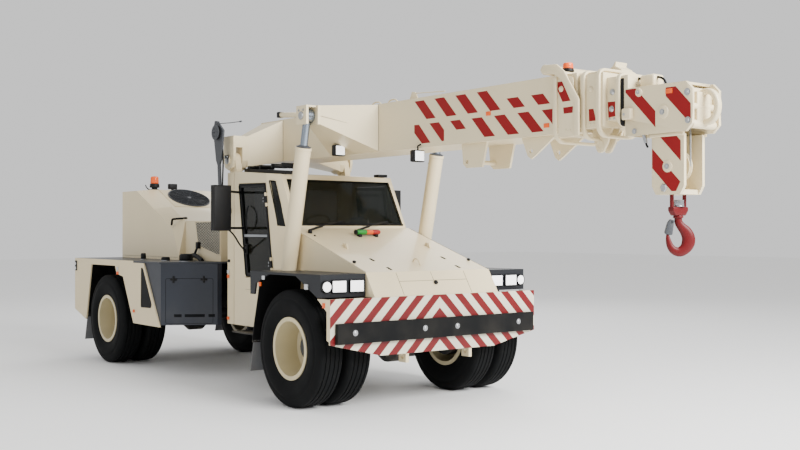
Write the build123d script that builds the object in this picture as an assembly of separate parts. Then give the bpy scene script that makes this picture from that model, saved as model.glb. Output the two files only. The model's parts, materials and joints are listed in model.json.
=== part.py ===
from build123d import *
import os
from math import cos, hypot, radians, sin

# Articulated pick-and-carry crane: a cab module with a boom over its roof, and an engine module
# behind it, joined by a vertical steering pivot. Millimetres, +X forward, +Y left, +Z up.
# Every x below is measured from the front axle. ORIGIN_SHIFT moves the finished pieces so that
# the frame's origin lies on the ground under the middle of the crane's length.

# Overall places
REAR_END = -6000.0
NOSE_END = 4300.0
ORIGIN_SHIFT = -(REAR_END + NOSE_END) / 2
WHEELBASE = 4844.0
STEER_PIVOT = -2600.0
RUN = 0.3
CLEAR = 6.0

# Wheels: twin tyres on one rim
TYRE_R = 613.0
TYRE_WIDTH = 313.0
TWIN_SPACING = 350.0
WHEEL_FACE = 1373.0
BEAD_R = 300.0
FLANGE_R = 328.0
RIM_INSET = 26.0
RIM_WALL = 15.0
DISC_Y = 1015.0
DISC_THICK = 35.0
SPINDLE_R = 75.0
HUB_R = 140.0
HUB_END = 1120.0
DRUM_R = 205.0
AXLE_TUBE_R = 90.0

# Frame rails
RAIL_IN = 300.0
RAIL_OUT = 380.0
RAIL_LOW = 820.0
RAIL_HIGH = 1080.0

# Front of the cab module
BUMPER_X = 820.0
BUMPER_HALF = 1389.0
BUMPER_TOP = 1165.0
BUMPER_SIDE_LOW = 717.0
BUMPER_LOW = 576.0
BUMPER_KINK = 771.0
PLATE = 20.0
PAD_THICK = 50.0
PAD_HALF = 1329.0
PAD_LOW = 721.0
PAD_HIGH = 924.0
TOW_X = 755.0
TOW_Y = 430.0
TOW_Z = 540.0
TOW_HALF = 20.0
TOW_BORE_R = 25.0
COWL_HALF = 842.0
COWL_CREASE = (655.0, 1411.0)
COWL_REAR = (-775.0, 1870.0)
COWL_WALL = 8.0
FENDER_TOP = 1400.0
FENDER_FRONT = 650.0
FENDER_REAR = -740.0
SHEET = 10.0
LAMP_Z = 1279.0
FLAP = 8.0
FLAP_TOP = 640.0

# Cab
CAB_HALF = 880.0
CAB_REAR = -2030.0
CAB_LOW = 700.0
CAB_FLOOR = 1250.0
CAB_WALL = 40.0
SCREEN_HALF = 790.0
SCREEN_LOW = (-780.0, 1886.0)
SCREEN_HIGH = (-1060.0, 2431.0)
ROOF_FRONT = 2490.0
ROOF_REAR = 2560.0
GLASS = 6.0
GLASS_INSET = 12.0
CAB_MOUNT_X = (-1950.0, -1250.0)

# Door outline on the cab side, (x, z), from the top rear corner round
DOOR = [(-1917.0, 2403.0), (-1285.0, 2391.0), (-1108.0, 1314.0), (-1744.0, 1293.0)]
DOOR_RIM = 45.0
SILL_GAP = 13.0
DOOR_BAR_Z = (1760.0, 1800.0)
MIRROR_ARM_Z = (1870.0, 2300.0)
HINGE_OUT = 14.0
HINGE_R = 12.0
HINGE_PIN_R = 7.0
HINGE_Z = (1450.0, 2200.0)

# Tower behind the cab and the boom's root pin
TOWER_REAR = -2200.0
TOWER_FRONT = -2040.0
TOWER_LOW = 700.0
TOWER_TOP = 2550.0
TOWER_IN = 740.0
LUG_IN = 765.0
LUG_OUT = 845.0
LUG_R = 100.0
LUFF_PIN = (-2170.0, 2700.0)
LUFF_PIN_R = 55.0

# Seat and controls
SEAT_Y = -250.0
SEAT_TOP = 1720.0

# Boom box
BOOM_HALF = 265.0
BOOM_LOW = 2700.0
BOOM_HIGH = 3222.0
BOOM_WALL = 15.0
BOOM_REAR = -2450.0
NEST = 10.0
WINCH = (-2220.0, 2960.0)

# Lift cylinders
LIFT_Y = 940.0
LIFT_LOW = (-780.0, 950.0)
LIFT_HIGH = (-292.0, 3081.0)
BARREL_R = 85.0
ROD_R = 42.0
BARREL_LENGTH = 1840.0
EYE_R = 78.0
EYE_HALF = 45.0
LIFT_PIN_R = 38.0

# Steering cylinders
STEER_Z = 880.0
STEER_BARREL = (-1900.0, 500.0)
STEER_EYE = (-2800.0, 330.0)
STEER_PIN_R = 25.0
STEER_BARREL_R = 52.0
STEER_ROD_R = 28.0
STEER_MOUTH = 580.0
STEER_ROD_LENGTH = 600.0
STEER_EYE_R = 46.0
STEER_EYE_HALF = 35.0
LUG_GAP = 5.0
EYE_DRIFT = 60.0

# Engine module
BODY_HALF = 1375.0
DECK_TOP = 1440.0
BODY_SHEET = 20.0
RADIATOR_X = (-3928.0, -2900.0)
RADIATOR_HALF = 600.0
RADIATOR_TOP = 1970.0
REEL_Y = -1000.0


def prism(points, along):
    """A flat outline of 3-D points pushed along a vector."""
    face = make_face(Polyline(*points, close=True))
    return extrude(face, amount=Vector(*along).length, dir=Vector(*along))


def side_plate(points, y0, y1):
    """An outline of (x, z) points between two y."""
    return prism([(x, y0, z) for x, z in points], (0, y1 - y0, 0))


def plan_plate(points, z0, z1):
    """An outline of (x, y) points between two z."""
    return prism([(x, y, z0) for x, y in points], (0, 0, z1 - z0))


def cross_plate(points, x0, x1):
    """An outline of (y, z) points between two x."""
    return prism([(x0, y, z) for y, z in points], (x1 - x0, 0, 0))


def block(x0, x1, y0, y1, z0, z1):
    """A box between its limits."""
    return side_plate([(x0, z0), (x1, z0), (x1, z1), (x0, z1)], y0, y1)


def rod(p, q, r):
    """A round bar of radius r from p to q."""
    axis = Vector(*q) - Vector(*p)
    return extrude(Plane(origin=p, z_dir=axis) * Circle(r), amount=axis.length)


def spun(profile, x, z):
    """(radius, y) points turned about the line along Y through (x, z)."""
    face = make_face(Polyline(*[(x + r, y, z) for r, y in profile], close=True))
    return revolve(face, axis=Axis((x, 0, z), (0, 1, 0)))


def mirrored(solid):
    """The same solid on the left side."""
    return mirror(solid, about=Plane.XZ)


def both(solid):
    """The right-hand solid and its mirror image."""
    return [solid, mirrored(solid)]


def both_all(solids):
    """Right-hand solids and their mirror images."""
    return [piece for solid in solids for piece in both(solid)]


def fuse(first, *others):
    """One solid from several that overlap or share faces."""
    return first.fuse(*others).clean() if others else first


def save(name, *solids):
    """Write one node."""
    flat = []
    for item in solids:
        flat.extend(item if isinstance(item, (list, tuple)) else [item])
    pieces = []
    for item in flat:
        pieces.extend(solid.moved(Location((ORIGIN_SHIFT, 0, 0))) for solid in item.solids())
    export_step(pieces[0] if len(pieces) == 1 else Compound(children=pieces), f"parts/{name}.step")


def wheel(side, x):
    """Rim and twin tyres of one wheel; side is -1 on the right and 1 on the left."""
    rim_face = WHEEL_FACE - RIM_INSET
    rim_back = WHEEL_FACE - TYRE_WIDTH - TWIN_SPACING + RIM_INSET
    tip = 10.0
    rim_profile = [
        (FLANGE_R, rim_face), (FLANGE_R, rim_face - tip), (BEAD_R, rim_face - 2.5 * tip),
        (BEAD_R, rim_back + 2.5 * tip), (FLANGE_R, rim_back + tip), (FLANGE_R, rim_back),
        (BEAD_R - RIM_WALL, rim_back), (BEAD_R - RIM_WALL, DISC_Y), (HUB_R, DISC_Y),
        (HUB_R, DISC_Y - RIM_WALL), (SPINDLE_R + RUN, DISC_Y - RIM_WALL), (SPINDLE_R + RUN, HUB_END),
        (HUB_R, HUB_END), (HUB_R + tip, DISC_Y + DISC_THICK), (BEAD_R - 38.0, DISC_Y + DISC_THICK),
        (BEAD_R - RIM_WALL, DISC_Y + DISC_THICK + 25.0), (BEAD_R - RIM_WALL, rim_face),
    ]
    rim = spun([(r, side * y) for r, y in rim_profile], x, TYRE_R)
    tyres = []
    for n in range(2):
        middle = WHEEL_FACE - TYRE_WIDTH / 2 - n * TWIN_SPACING
        half = TYRE_WIDTH / 2
        outline = [
            (BEAD_R + RUN, 0.66 * half), (BEAD_R + 42.0, 0.8 * half), (BEAD_R + 140.0, half),
            (TYRE_R - 55.0, 0.96 * half), (TYRE_R, 0.74 * half),
        ]
        outline = outline + [(r, -y) for r, y in reversed(outline)]
        tyres.append(spun([(r, side * (middle + y)) for r, y in outline], x, TYRE_R))
    return rim, tyres


def axle(x):
    """Axle casing with its brake drums, spindles and the pads under the rails."""
    drum_end = DISC_Y - RIM_WALL - CLEAR
    outline = [(0.0, 0.0), (230.0, 0.0), (230.0, 90.0), (AXLE_TUBE_R + 20.0, 230.0), (AXLE_TUBE_R, 260.0)]
    outline = outline + [(AXLE_TUBE_R, 730.0), (DRUM_R, 745.0), (DRUM_R, drum_end)]
    outline = outline + [(SPINDLE_R, drum_end), (SPINDLE_R, HUB_END + 5.0), (0.0, HUB_END + 5.0)]
    left = spun(outline, x, TYRE_R)
    pads = [block(x - 120, x + 120, s * RAIL_IN, s * RAIL_OUT, TYRE_R + 40.0, RAIL_LOW) for s in (-1, 1)]
    return fuse(left, mirrored(left), *pads)


def front_frame():
    """Rails, cross members, steering fork, cylinder beam and the tower that carries the boom."""
    parts = []
    for s in (-1, 1):
        parts.append(block(TOWER_FRONT - 20, BUMPER_X - PLATE, s * RAIL_IN, s * RAIL_OUT, RAIL_LOW, RAIL_HIGH))
        leg = block(TOWER_REAR, TOWER_FRONT, s * TOWER_IN, s * CAB_HALF, TOWER_LOW, TOWER_TOP)
        pin_x, pin_z = LUFF_PIN
        lug = side_plate(
            [(TOWER_REAR, TOWER_TOP - 60), (TOWER_FRONT, TOWER_TOP - 60), (TOWER_FRONT, TOWER_TOP + 40),
             (pin_x + LUG_R, pin_z), (pin_x - LUG_R, pin_z), (TOWER_REAR, TOWER_TOP)],
            s * LUG_IN, s * LUG_OUT)
        boss = rod((pin_x, s * LUG_IN, pin_z), (pin_x, s * LUG_OUT, pin_z), LUG_R)
        pin = rod((pin_x, s * (TOWER_IN - 70), pin_z), (pin_x, s * (CAB_HALF + 25), pin_z), LUFF_PIN_R)
        parts += [leg, lug, boss, pin]
        low_x, low_z = LIFT_LOW
        parts.append(rod((low_x, s * 820, low_z), (low_x, s * (LIFT_Y + EYE_HALF + 20), low_z), LIFT_PIN_R))
        head = rod((low_x, s * (LIFT_Y + EYE_HALF + 5), low_z), (low_x, s * (LIFT_Y + EYE_HALF + 20), low_z), 55)
        parts.append(head)
    beam_x, beam_z = LIFT_LOW
    beam_y = LIFT_Y - EYE_HALF - 5
    parts.append(block(beam_x - 70, beam_x + 60, -beam_y, beam_y, beam_z - 80, beam_z + 80))
    for x0, x1 in ((TOWER_REAR, TOWER_FRONT), (-1500.0, -1420.0), (420.0, 500.0)):
        parts.append(block(x0, x1, -RAIL_IN - 10, RAIL_IN + 10, RAIL_LOW + 20, RAIL_HIGH - 20))
    parts.append(block(TOWER_REAR, TOWER_FRONT, -TOWER_IN - 10, TOWER_IN + 10, RAIL_HIGH - 60, RAIL_HIGH + 100))
    parts.append(block(TOWER_REAR, TOWER_FRONT, -TOWER_IN - 10, TOWER_IN + 10, 2380, 2480))
    for s in (-1, 1):
        pin_x, pin_y = STEER_BARREL[0], s * STEER_BARREL[1]
        parts += clevis(pin_x - 50, pin_x + 50, s * (RAIL_OUT - 5), pin_y + s * 45)
        reach = STEER_EYE_HALF + LUG_GAP + PLATE + 5.0
        parts.append(rod((pin_x, pin_y, STEER_Z - reach), (pin_x, pin_y, STEER_Z + reach), STEER_PIN_R))
        for x in CAB_MOUNT_X:
            parts.append(block(x, x + 90, s * RAIL_IN, s * RAIL_OUT, RAIL_HIGH - 10, CAB_FLOOR - RUN))
    fork = [(TOWER_FRONT, -280), (TOWER_FRONT, 280), (STEER_PIVOT, 150), (STEER_PIVOT - 130, 90),
            (STEER_PIVOT - 130, -90), (STEER_PIVOT, -150)]
    for z0, z1 in ((560.0, 620.0), (980.0, 1040.0)):
        parts.append(plan_plate(fork, z0, z1))
    parts.append(block(TOWER_REAR, TOWER_FRONT, -280, 280, 560, RAIL_LOW + 30))
    parts.append(rod((STEER_PIVOT, 0, 545), (STEER_PIVOT, 0, 1055), 60))
    return fuse(parts[0], *parts[1:])


def bumper():
    """Chevron plate with its side cheeks and two tow lugs."""
    outline = [(-BUMPER_HALF, BUMPER_TOP), (BUMPER_HALF, BUMPER_TOP), (BUMPER_HALF, BUMPER_SIDE_LOW),
               (BUMPER_KINK, BUMPER_LOW), (-BUMPER_KINK, BUMPER_LOW), (-BUMPER_HALF, BUMPER_SIDE_LOW)]
    parts = [cross_plate(outline, BUMPER_X - PLATE, BUMPER_X)]
    cheek = [(590.0, 1160.0), (BUMPER_X - 5, 1160.0), (BUMPER_X - 5, 740.0), (760.0, 760.0), (760.0, 1040.0)]
    for s in (-1, 1):
        parts.append(side_plate(cheek, s * (BUMPER_HALF - PLATE), s * BUMPER_HALF))
        lug = block(TOW_X - 60, BUMPER_X - 5, s * (TOW_Y - TOW_HALF), s * (TOW_Y + TOW_HALF), TOW_Z - 60, 700)
        parts.append(lug - rod((TOW_X, s * (TOW_Y - 60), TOW_Z), (TOW_X, s * (TOW_Y + 60), TOW_Z), TOW_BORE_R))
    return fuse(parts[0], *parts[1:])


def nose_cowl():
    """Sheet cowl over the front, open below, with its lifting lugs."""
    rear_x, rear_z = COWL_REAR
    crease_x, crease_z = COWL_CREASE
    low = BUMPER_TOP
    outer = [(rear_x, rear_z), (crease_x, crease_z), (812.0, low), (rear_x, low)]
    w = COWL_WALL
    inner = [(rear_x + w, rear_z - w), (crease_x - w, crease_z - w), (812.0 - 1.5 * w, low - 1), (rear_x + w, low - 1)]
    shell = side_plate(outer, -COWL_HALF, COWL_HALF) - side_plate(inner, -COWL_HALF + w, COWL_HALF - w)
    shell = shell - block(rear_x - 10, 640, -COWL_HALF - 10, COWL_HALF + 10, low - 10, FENDER_TOP - 10)
    slope = (crease_z - rear_z) / (crease_x - rear_x)
    parts = [shell]
    for s in (-1, 1):
        x, y = -95.0, s * 578.0
        z = rear_z + slope * (x - rear_x)
        lug = side_plate([(x - 60, z + 5), (x + 60, z - 32), (x + 30, z + 45), (x - 30, z + 50)], y - 10, y + 10)
        parts.append(lug - rod((x, y - 20, z + 20), (x, y + 20, z + 20), 14))
    return fuse(parts[0], *parts[1:])


def fender():
    """Right front wing: top, outer skirt with the wheel arch, and the lamp face."""
    y0, y1 = -COWL_HALF - RUN, -1389.0
    notch_x, notch_y = -490.0, -1060.0
    top = plan_plate([(notch_x, y0), (FENDER_FRONT, y0), (FENDER_FRONT, y1), (FENDER_REAR, y1),
                      (FENDER_REAR, notch_y), (notch_x, notch_y)], FENDER_TOP - SHEET, FENDER_TOP)
    skirt = side_plate([(FENDER_REAR, FENDER_TOP), (FENDER_FRONT, FENDER_TOP), (FENDER_FRONT, BUMPER_TOP + 5),
                        (590.0, BUMPER_TOP + 5), (185.0, 1375.0), (-350.0, 1375.0), (-620.0, 1270.0),
                        (-650.0, 1150.0), (FENDER_REAR, 1150.0)], y1 + 2 * SHEET, y1)
    face = block(FENDER_FRONT - 2 * SHEET, FENDER_FRONT, y0, y1, BUMPER_TOP + 5, FENDER_TOP)
    return fuse(top, skirt, face)


def arch_liner():
    """Bent sheet between the right front tyres and the cab, with the wing's underside."""
    outer = [(-560.0, FENDER_TOP - SHEET), (-600.0, 1180.0), (-690.0, 850.0), (-735.0, FLAP_TOP)]
    inner = [(x + FLAP, z) for x, z in reversed(outer)]
    return side_plate(outer + inner, -COWL_HALF - RUN, -1369.0)


def mudflap(x, z_high, lean, drop):
    """Rubber flap hanging behind the right tyres."""
    outline = [(x, z_high), (x + FLAP, z_high), (x + FLAP - lean, z_high - drop), (x - lean, z_high - drop)]
    return side_plate(outline, -760.0, -1352.0)


def headlamps():
    """Three lamp glasses on the right wing's face, (y, half width)."""
    x0, x1 = FENDER_FRONT, FENDER_FRONT + 22.0
    lamps = [rod((x0, -1325.0, LAMP_Z), (x1, -1325.0, LAMP_Z), 50.0)]
    for y in (-1175.0, -960.0):
        lamps.append(block(x0, x1, y - 80.0, y + 80.0, LAMP_Z - 55.0, LAMP_Z + 55.0))
    return lamps


def cab_section(z, inset):
    """Plan outline of the cab at one height, moved in by the inset."""
    lean = (DOOR[1][0] - DOOR[2][0]) / (DOOR[1][1] - DOOR[2][1])
    pillar_x = DOOR[2][0] + 30.0 + lean * (z - DOOR[2][1]) - 0.15 * inset
    low_x, low_z = SCREEN_LOW
    high_x, high_z = SCREEN_HIGH
    rake = (high_x - low_x) / (high_z - low_z)
    screen_x = low_x + rake * max(z - low_z, 0.0) - inset
    if z < FENDER_TOP:
        screen_x = -950.0 - inset
    half = SCREEN_HALF - 0.9 * inset
    side = CAB_HALF - inset
    points = [(CAB_REAR + inset, -side), (pillar_x, -side), (screen_x, -half)]
    points = points + [(x, -y) for x, y in reversed(points)]
    return make_face(Polyline(*[(x, y, z) for x, y in points], close=True))


def roof_z(x):
    """Height of the cab's sloped roof."""
    slope = (ROOF_FRONT - ROOF_REAR) / (SCREEN_HIGH[0] - CAB_REAR)
    return ROOF_REAR + slope * (x - CAB_REAR)


def cab_body(inset, z_low, z_rise):
    """Cab volume between a low level and the sloped roof, moved in by the inset."""
    split = FENDER_TOP
    below = []
    if z_low < split:
        below.append(loft([cab_section(z_low, inset), cab_section(split - 1e-3, inset)], ruled=True))
    middle = max(z_low, split)
    screen = SCREEN_LOW[1]
    top = 2640.0
    upper = [loft([cab_section(middle, inset), cab_section(screen, inset)], ruled=True)]
    upper.append(loft([cab_section(screen, inset), cab_section(top, inset)], ruled=True))
    whole = fuse(upper[0], *(upper[1:] + below))
    roof = [(x, roof_z(x) - z_rise) for x in (-2600.0, 0.0)]
    return whole & side_plate([(-2600.0, 0.0), roof[0], roof[1], (0.0, 0.0)], -1200, 1200)


def door_opening():
    """Outline of a door's opening, deeper at the sill because the leaning hinge line lowers the open door."""
    top_rear, top_front, low_front, low_rear = grown(DOOR, CLEAR)
    drop = SILL_GAP - CLEAR
    return [top_rear, top_front, (low_front[0], low_front[1] - drop), (low_rear[0], low_rear[1] - drop)]


def grown(points, by):
    """The door outline moved out (or in) by a margin."""
    middle_x = sum(x for x, z in points) / len(points)
    middle_z = sum(z for x, z in points) / len(points)
    return [(x + (by if x > middle_x else -by), z + (by if z > middle_z else -by)) for x, z in points]


QUARTER = [(-1222.0, 2418.0), (-1140.0, 2412.0), (-930.0, 1885.0), (-1080.0, 1896.0)]
REAR_PANE = [(-620.0, 1850.0), (620.0, 1850.0), (620.0, 2360.0), (-620.0, 2360.0)]
SCREEN_PANE = [(-745.0, 1900.0), (745.0, 1900.0), (728.0, 2431.0), (-728.0, 2431.0)]


def pane_cuts():
    """The volumes that cut the fixed windows out of the cab."""
    cuts = [cross_plate(SCREEN_PANE, -1350.0, -600.0), cross_plate(REAR_PANE, CAB_REAR - 30, CAB_REAR + 80)]
    cuts += both(side_plate(QUARTER, -1000.0, -700.0))
    return cuts


def cab_shell():
    """Hollow cab with its floor, window openings and door openings."""
    shell = cab_body(0.0, CAB_LOW, 0.0) - cab_body(CAB_WALL, CAB_FLOOR + CAB_WALL, CAB_WALL)
    shell = shell - (cab_body(CAB_WALL, CAB_LOW - 1, 0.0) & block(-2600, 0, -1200, 1200, 0, CAB_FLOOR))
    for cut in pane_cuts():
        shell = shell - cut
    for cut in both(side_plate(door_opening(), -1000.0, -700.0)):
        shell = shell - cut
    shell = shell - block(-1250, -900, -500, 500, CAB_LOW - 10, CAB_FLOOR - 10)
    for piece in cab_hinges():
        shell = fuse(shell, piece, mirrored(piece))
    ledge = block(-955, -782, -780, 780, FENDER_TOP, FENDER_TOP + CAB_WALL)
    shell = fuse(shell, ledge)
    return shell - block(CAB_REAR - 10, CAB_REAR + 80, -580, 580, CAB_LOW - 10, RAIL_HIGH + 20)


def cab_glass():
    """Windscreen, quarter panes and back pane."""
    skin = cab_body(GLASS_INSET, FENDER_TOP, 0.0) - cab_body(GLASS_INSET + GLASS, FENDER_TOP, 0.0)
    return [skin & cut for cut in pane_cuts()]


def hinge_point(z):
    """Point on the right door's hinge line at height z."""
    (top_x, top_z), (low_x, low_z) = DOOR[1], DOOR[2]
    return low_x + (top_x - low_x) * (z - low_z) / (top_z - low_z), -CAB_HALF - HINGE_OUT, z


def hinge_leaf(z):
    """Strap from the hinge line onto the door's frame."""
    x = hinge_point(z)[0]
    return block(x - 60, x - 4, -CAB_HALF - 6, -CAB_HALF + 2, z - 34, z + 34)


def cab_hinges():
    """Knuckles and pins of the right door that stay on the cab."""
    parts = []
    for z in HINGE_Z:
        pin = rod(hinge_point(z - 80), hinge_point(z + 80), HINGE_PIN_R)
        knuckles = [rod(hinge_point(z + s * 41), hinge_point(z + s * 80), HINGE_R) for s in (-1, 1)]
        leaves = []
        for s in (-1, 1):
            x = hinge_point(z + s * 60)[0]
            leaves.append(block(x + 7, x + 30, -CAB_HALF - 7, -CAB_HALF, z + s * 60 - 16, z + s * 60 + 16))
        parts.append(fuse(pin, *knuckles, *leaves))
    return parts


def door():
    """Right door: a frame with a bar across its two panes, and its hinge straps."""
    outer = side_plate(DOOR, -CAB_HALF, -CAB_HALF + CAB_WALL)
    frame = outer - side_plate(grown(DOOR, -DOOR_RIM), -CAB_HALF - 10, -CAB_HALF + CAB_WALL + 10)
    bar = outer & block(-2000, -1000, -CAB_HALF, -CAB_HALF + CAB_WALL, *DOOR_BAR_Z)
    whole = fuse(frame, bar)
    for z in HINGE_Z:
        whole = fuse(whole, hinge_leaf(z), rod(hinge_point(z - 40), hinge_point(z + 40), HINGE_R))
        whole = whole - rod(hinge_point(z - 60), hinge_point(z + 60), HINGE_PIN_R + RUN)
    return whole


def door_panes():
    """The two panes of the right door."""
    middle = -CAB_HALF + CAB_WALL / 2
    pane = side_plate(grown(DOOR, -DOOR_RIM), middle, middle + GLASS)
    low, high = DOOR_BAR_Z
    return [pane & block(-2000, -1000, -1000, -700, 1000, low), pane & block(-2000, -1000, -1000, -700, high, 2600)]


def door_mirror():
    """Mirror head and its two arms, carried by the right door."""
    head = block(-1700, -1630, -1370, -1140, 1840, 2370)
    (top_x, top_z), (low_x, low_z) = DOOR[0], DOOR[3]
    arms = []
    for z in MIRROR_ARM_Z:
        x = low_x + (top_x - low_x) * (z - low_z) / (top_z - low_z) + DOOR_RIM / 2
        arms.append(rod((-1665, -1150, z), (x, -CAB_HALF - 13, z), 14))
        arms.append(rod((x, -CAB_HALF - 14, z), (x, -CAB_HALF, z), 18))
    return fuse(head, *arms)


def box_tube(half, low, high, wall, x0, x1):
    """A rectangular tube along X."""
    outer = block(x0, x1, -half, half, low, high)
    return outer - block(x0 - 1, x1 + 1, -half + wall, half - wall, low + wall, high - wall)


def collar(half, low, high, x0, x1, rise):
    """A ring round a section's mouth that holds the next section."""
    outer = block(x0, x1, -half - rise, half + rise, low - rise, high + rise)
    inner_half = half - BOOM_WALL - NEST + RUN
    return outer - block(x0 - 1, x1 + 1, -inner_half, inner_half, low + half - inner_half, high - half + inner_half)


def cross_arm(base, tip, y0, y1):
    """A tapered arm out of the boom's side: base and tip are (x0, x1, z0, z1)."""
    faces = []
    for (x0, x1, z0, z1), y in ((base, y0), (tip, y1)):
        faces.append(make_face(Polyline((x0, y, z0), (x1, y, z0), (x1, y, z1), (x0, y, z1), close=True)))
    return loft(faces, ruled=True)


# Telescoping sections: name, rear end, front end, collar's front end
SECTIONS = [
    ("boom_base", BOOM_REAR, 2800.0, 2880.0),
    ("boom_second", -1900.0, 2930.0, 3010.0),
    ("boom_third", -1750.0, 3060.0, 3290.0),
    ("boom_tip", -1600.0, 3500.0, 3500.0),
]
HEAD = (3490.0, 4170.0, 2630.0, 3030.0)
HEAD_HALF = 190.0
HANG = (3888.0, 2800.0)
SHEAVE_R = 130.0
SHEAVE_PIN_R = 30.0
GROOVE = 26.0
NOSE_R = 120.0

# Lugs under the base section: outline (x, z) and bore centre
UNDER_LUGS = [
    ([(1397.0, 2705.0), (1420.0, 2500.0), (1470.0, 2460.0), (1700.0, 2460.0), (1767.0, 2705.0)], (1480.0, 2520.0)),
    ([(2252.0, 2705.0), (2330.0, 2530.0), (2375.0, 2500.0), (2430.0, 2530.0), (2700.0, 2705.0)], (2375.0, 2575.0)),
]


def section_box(n):
    """Half width, bottom and top of section n."""
    step = n * (BOOM_WALL + NEST)
    return BOOM_HALF - step, BOOM_LOW + step, BOOM_HIGH - step


def boom_section(n):
    """Tube and mouth collar of section n."""
    name, x0, x1, x2 = SECTIONS[n]
    half, low, high = section_box(n)
    tube = box_tube(half, low, high, BOOM_WALL, x0, x1)
    if x2 > x1:
        tube = fuse(tube, collar(half, low, high, x1 - 40, x2, 22.0))
    return tube


def boom_base():
    """Base section with its rear arms and clevises and its lift arms and clevises."""
    parts = [boom_section(0)]
    pin_x, pin_z = LUFF_PIN
    lift_x, lift_z = LIFT_HIGH
    for s in (-1, 1):
        arm = cross_arm((BOOM_REAR + 30, -1907, BOOM_LOW + 5, BOOM_HIGH - 5), (pin_x - 125, pin_x + 125, 2620, 3000),
                        s * (BOOM_HALF - 10), s * 690)
        inner = side_plate([(pin_x - 125, pin_z), (pin_x - 125, 3000), (pin_x + 125, 3000), (pin_x + 125, pin_z),
                            (pin_x + 90, pin_z - 85), (pin_x, pin_z - 120), (pin_x - 90, pin_z - 85)],
                           s * 685, s * (LUG_IN - 5))
        outer = side_plate([(pin_x - 125, pin_z), (pin_x - 125, 3000), (pin_x + 125, 3000), (pin_x + 125, pin_z),
                            (pin_x + 90, pin_z - 85), (pin_x, pin_z - 120), (pin_x - 90, pin_z - 85)],
                           s * (LUG_OUT + 5), s * (LUG_OUT + 40))
        bridge = block(pin_x - 60, pin_x + 125, s * (LUG_IN - 20), s * (LUG_OUT + 20), 2860, 3000)
        bore = rod((pin_x, s * (TOWER_IN - 90), pin_z), (pin_x, s * 900, pin_z), LUFF_PIN_R + RUN)
        parts.append(fuse(arm, inner, outer, bridge) - bore)
        in_y = LIFT_Y - EYE_HALF - 5
        out_y = LIFT_Y + EYE_HALF + 5
        lift_arm = cross_arm((-850, 94, BOOM_LOW + 5, BOOM_HIGH - 5), (lift_x - 100, lift_x + 130, 2985, 3190),
                             s * (BOOM_HALF - 10), s * (in_y - 30))
        tip = block(lift_x - 100, lift_x + 130, s * (in_y - 35), s * in_y, 2985, 3190)
        cheek = block(lift_x - 100, lift_x + 100, s * out_y, s * (out_y + 30), 2985, 3190)
        cap = block(lift_x - 100, lift_x + 100, s * (in_y - 5), s * (out_y + 5), 3170, 3190)
        parts.append(fuse(lift_arm, tip, cheek, cap))
    x, z = WINCH
    parts.append(rod((x, -BOOM_HALF + 5, z), (x, BOOM_HALF - 5, z), 30))
    for outline, (bore_x, bore_z) in UNDER_LUGS:
        for s in (-1, 1):
            lug = side_plate(outline, s * 170, s * 195)
            parts.append(lug - rod((bore_x, s * 160, bore_z), (bore_x, s * 205, bore_z), 22))
    bar_x, bar_z = UNDER_LUGS[0][1]
    parts.append(rod((bar_x, -175, bar_z), (bar_x, 175, bar_z), 22))
    return fuse(parts[0], *parts[1:])


def boom_tip():
    """Innermost section with the head plates."""
    x0, x1, z0, z1 = HEAD
    half, low, high = section_box(3)
    parts = [boom_section(3)]
    outline = [(x0, z0), (x1 - 60, z0), (x1, z0 + 60), (x1, z1 - 60), (x1 - 60, z1), (x0, z1)]
    for s in (-1, 1):
        parts.append(side_plate(outline, s * (HEAD_HALF - 30), s * HEAD_HALF))
    parts.append(block(x0, x0 + 30, -HEAD_HALF, HEAD_HALF, z0, high))
    parts.append(block(x0 + 20, x1 - 80, -HEAD_HALF + 10, HEAD_HALF - 10, z1 - 20, z1))
    parts.append(rod((HANG[0], -HEAD_HALF, HANG[1]), (HANG[0], HEAD_HALF, HANG[1]), SHEAVE_PIN_R))
    nose = rod((x1 - 40, -HEAD_HALF + 5, z1 - 200), (x1 - 40, HEAD_HALF - 5, z1 - 200), 28)
    idler = rod((NOSE_END - NOSE_R, -40, z1 - 200), (NOSE_END - NOSE_R, 40, z1 - 200), NOSE_R)
    return fuse(parts[0], *parts[1:], nose, idler)


def sheave(x, z):
    """A grooved sheave on a pin."""
    outline = [(50, -30), (50, -14), (SHEAVE_R, -20), (SHEAVE_R, -14), (SHEAVE_R - GROOVE, 0)]
    outline = outline + [(r, -y) for r, y in reversed(outline[:-1])]
    return spun([(SHEAVE_PIN_R + RUN, -30)] + outline + [(SHEAVE_PIN_R + RUN, 30)], x, z)


def head_sheave():
    """Sheave that the hoist rope hangs from."""
    x, z = HANG
    return sheave(x, z)


BLOCK_TOP = 2620.0
BLOCK_LOW = 2130.0
BLOCK_HALF_X = 162.0
BLOCK_HALF_Y = 135.0
BLOCK_SHEAVE_Z = 2360.0
BLOCK_FLOOR = 40.0
SHANK_R = 30.0
HOOK_R = 105.0
HOOK_Z = 1795.0
HOOK_ARC = (100.0, -28.9, -190.0)
ROPE_R = 8.0


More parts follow.
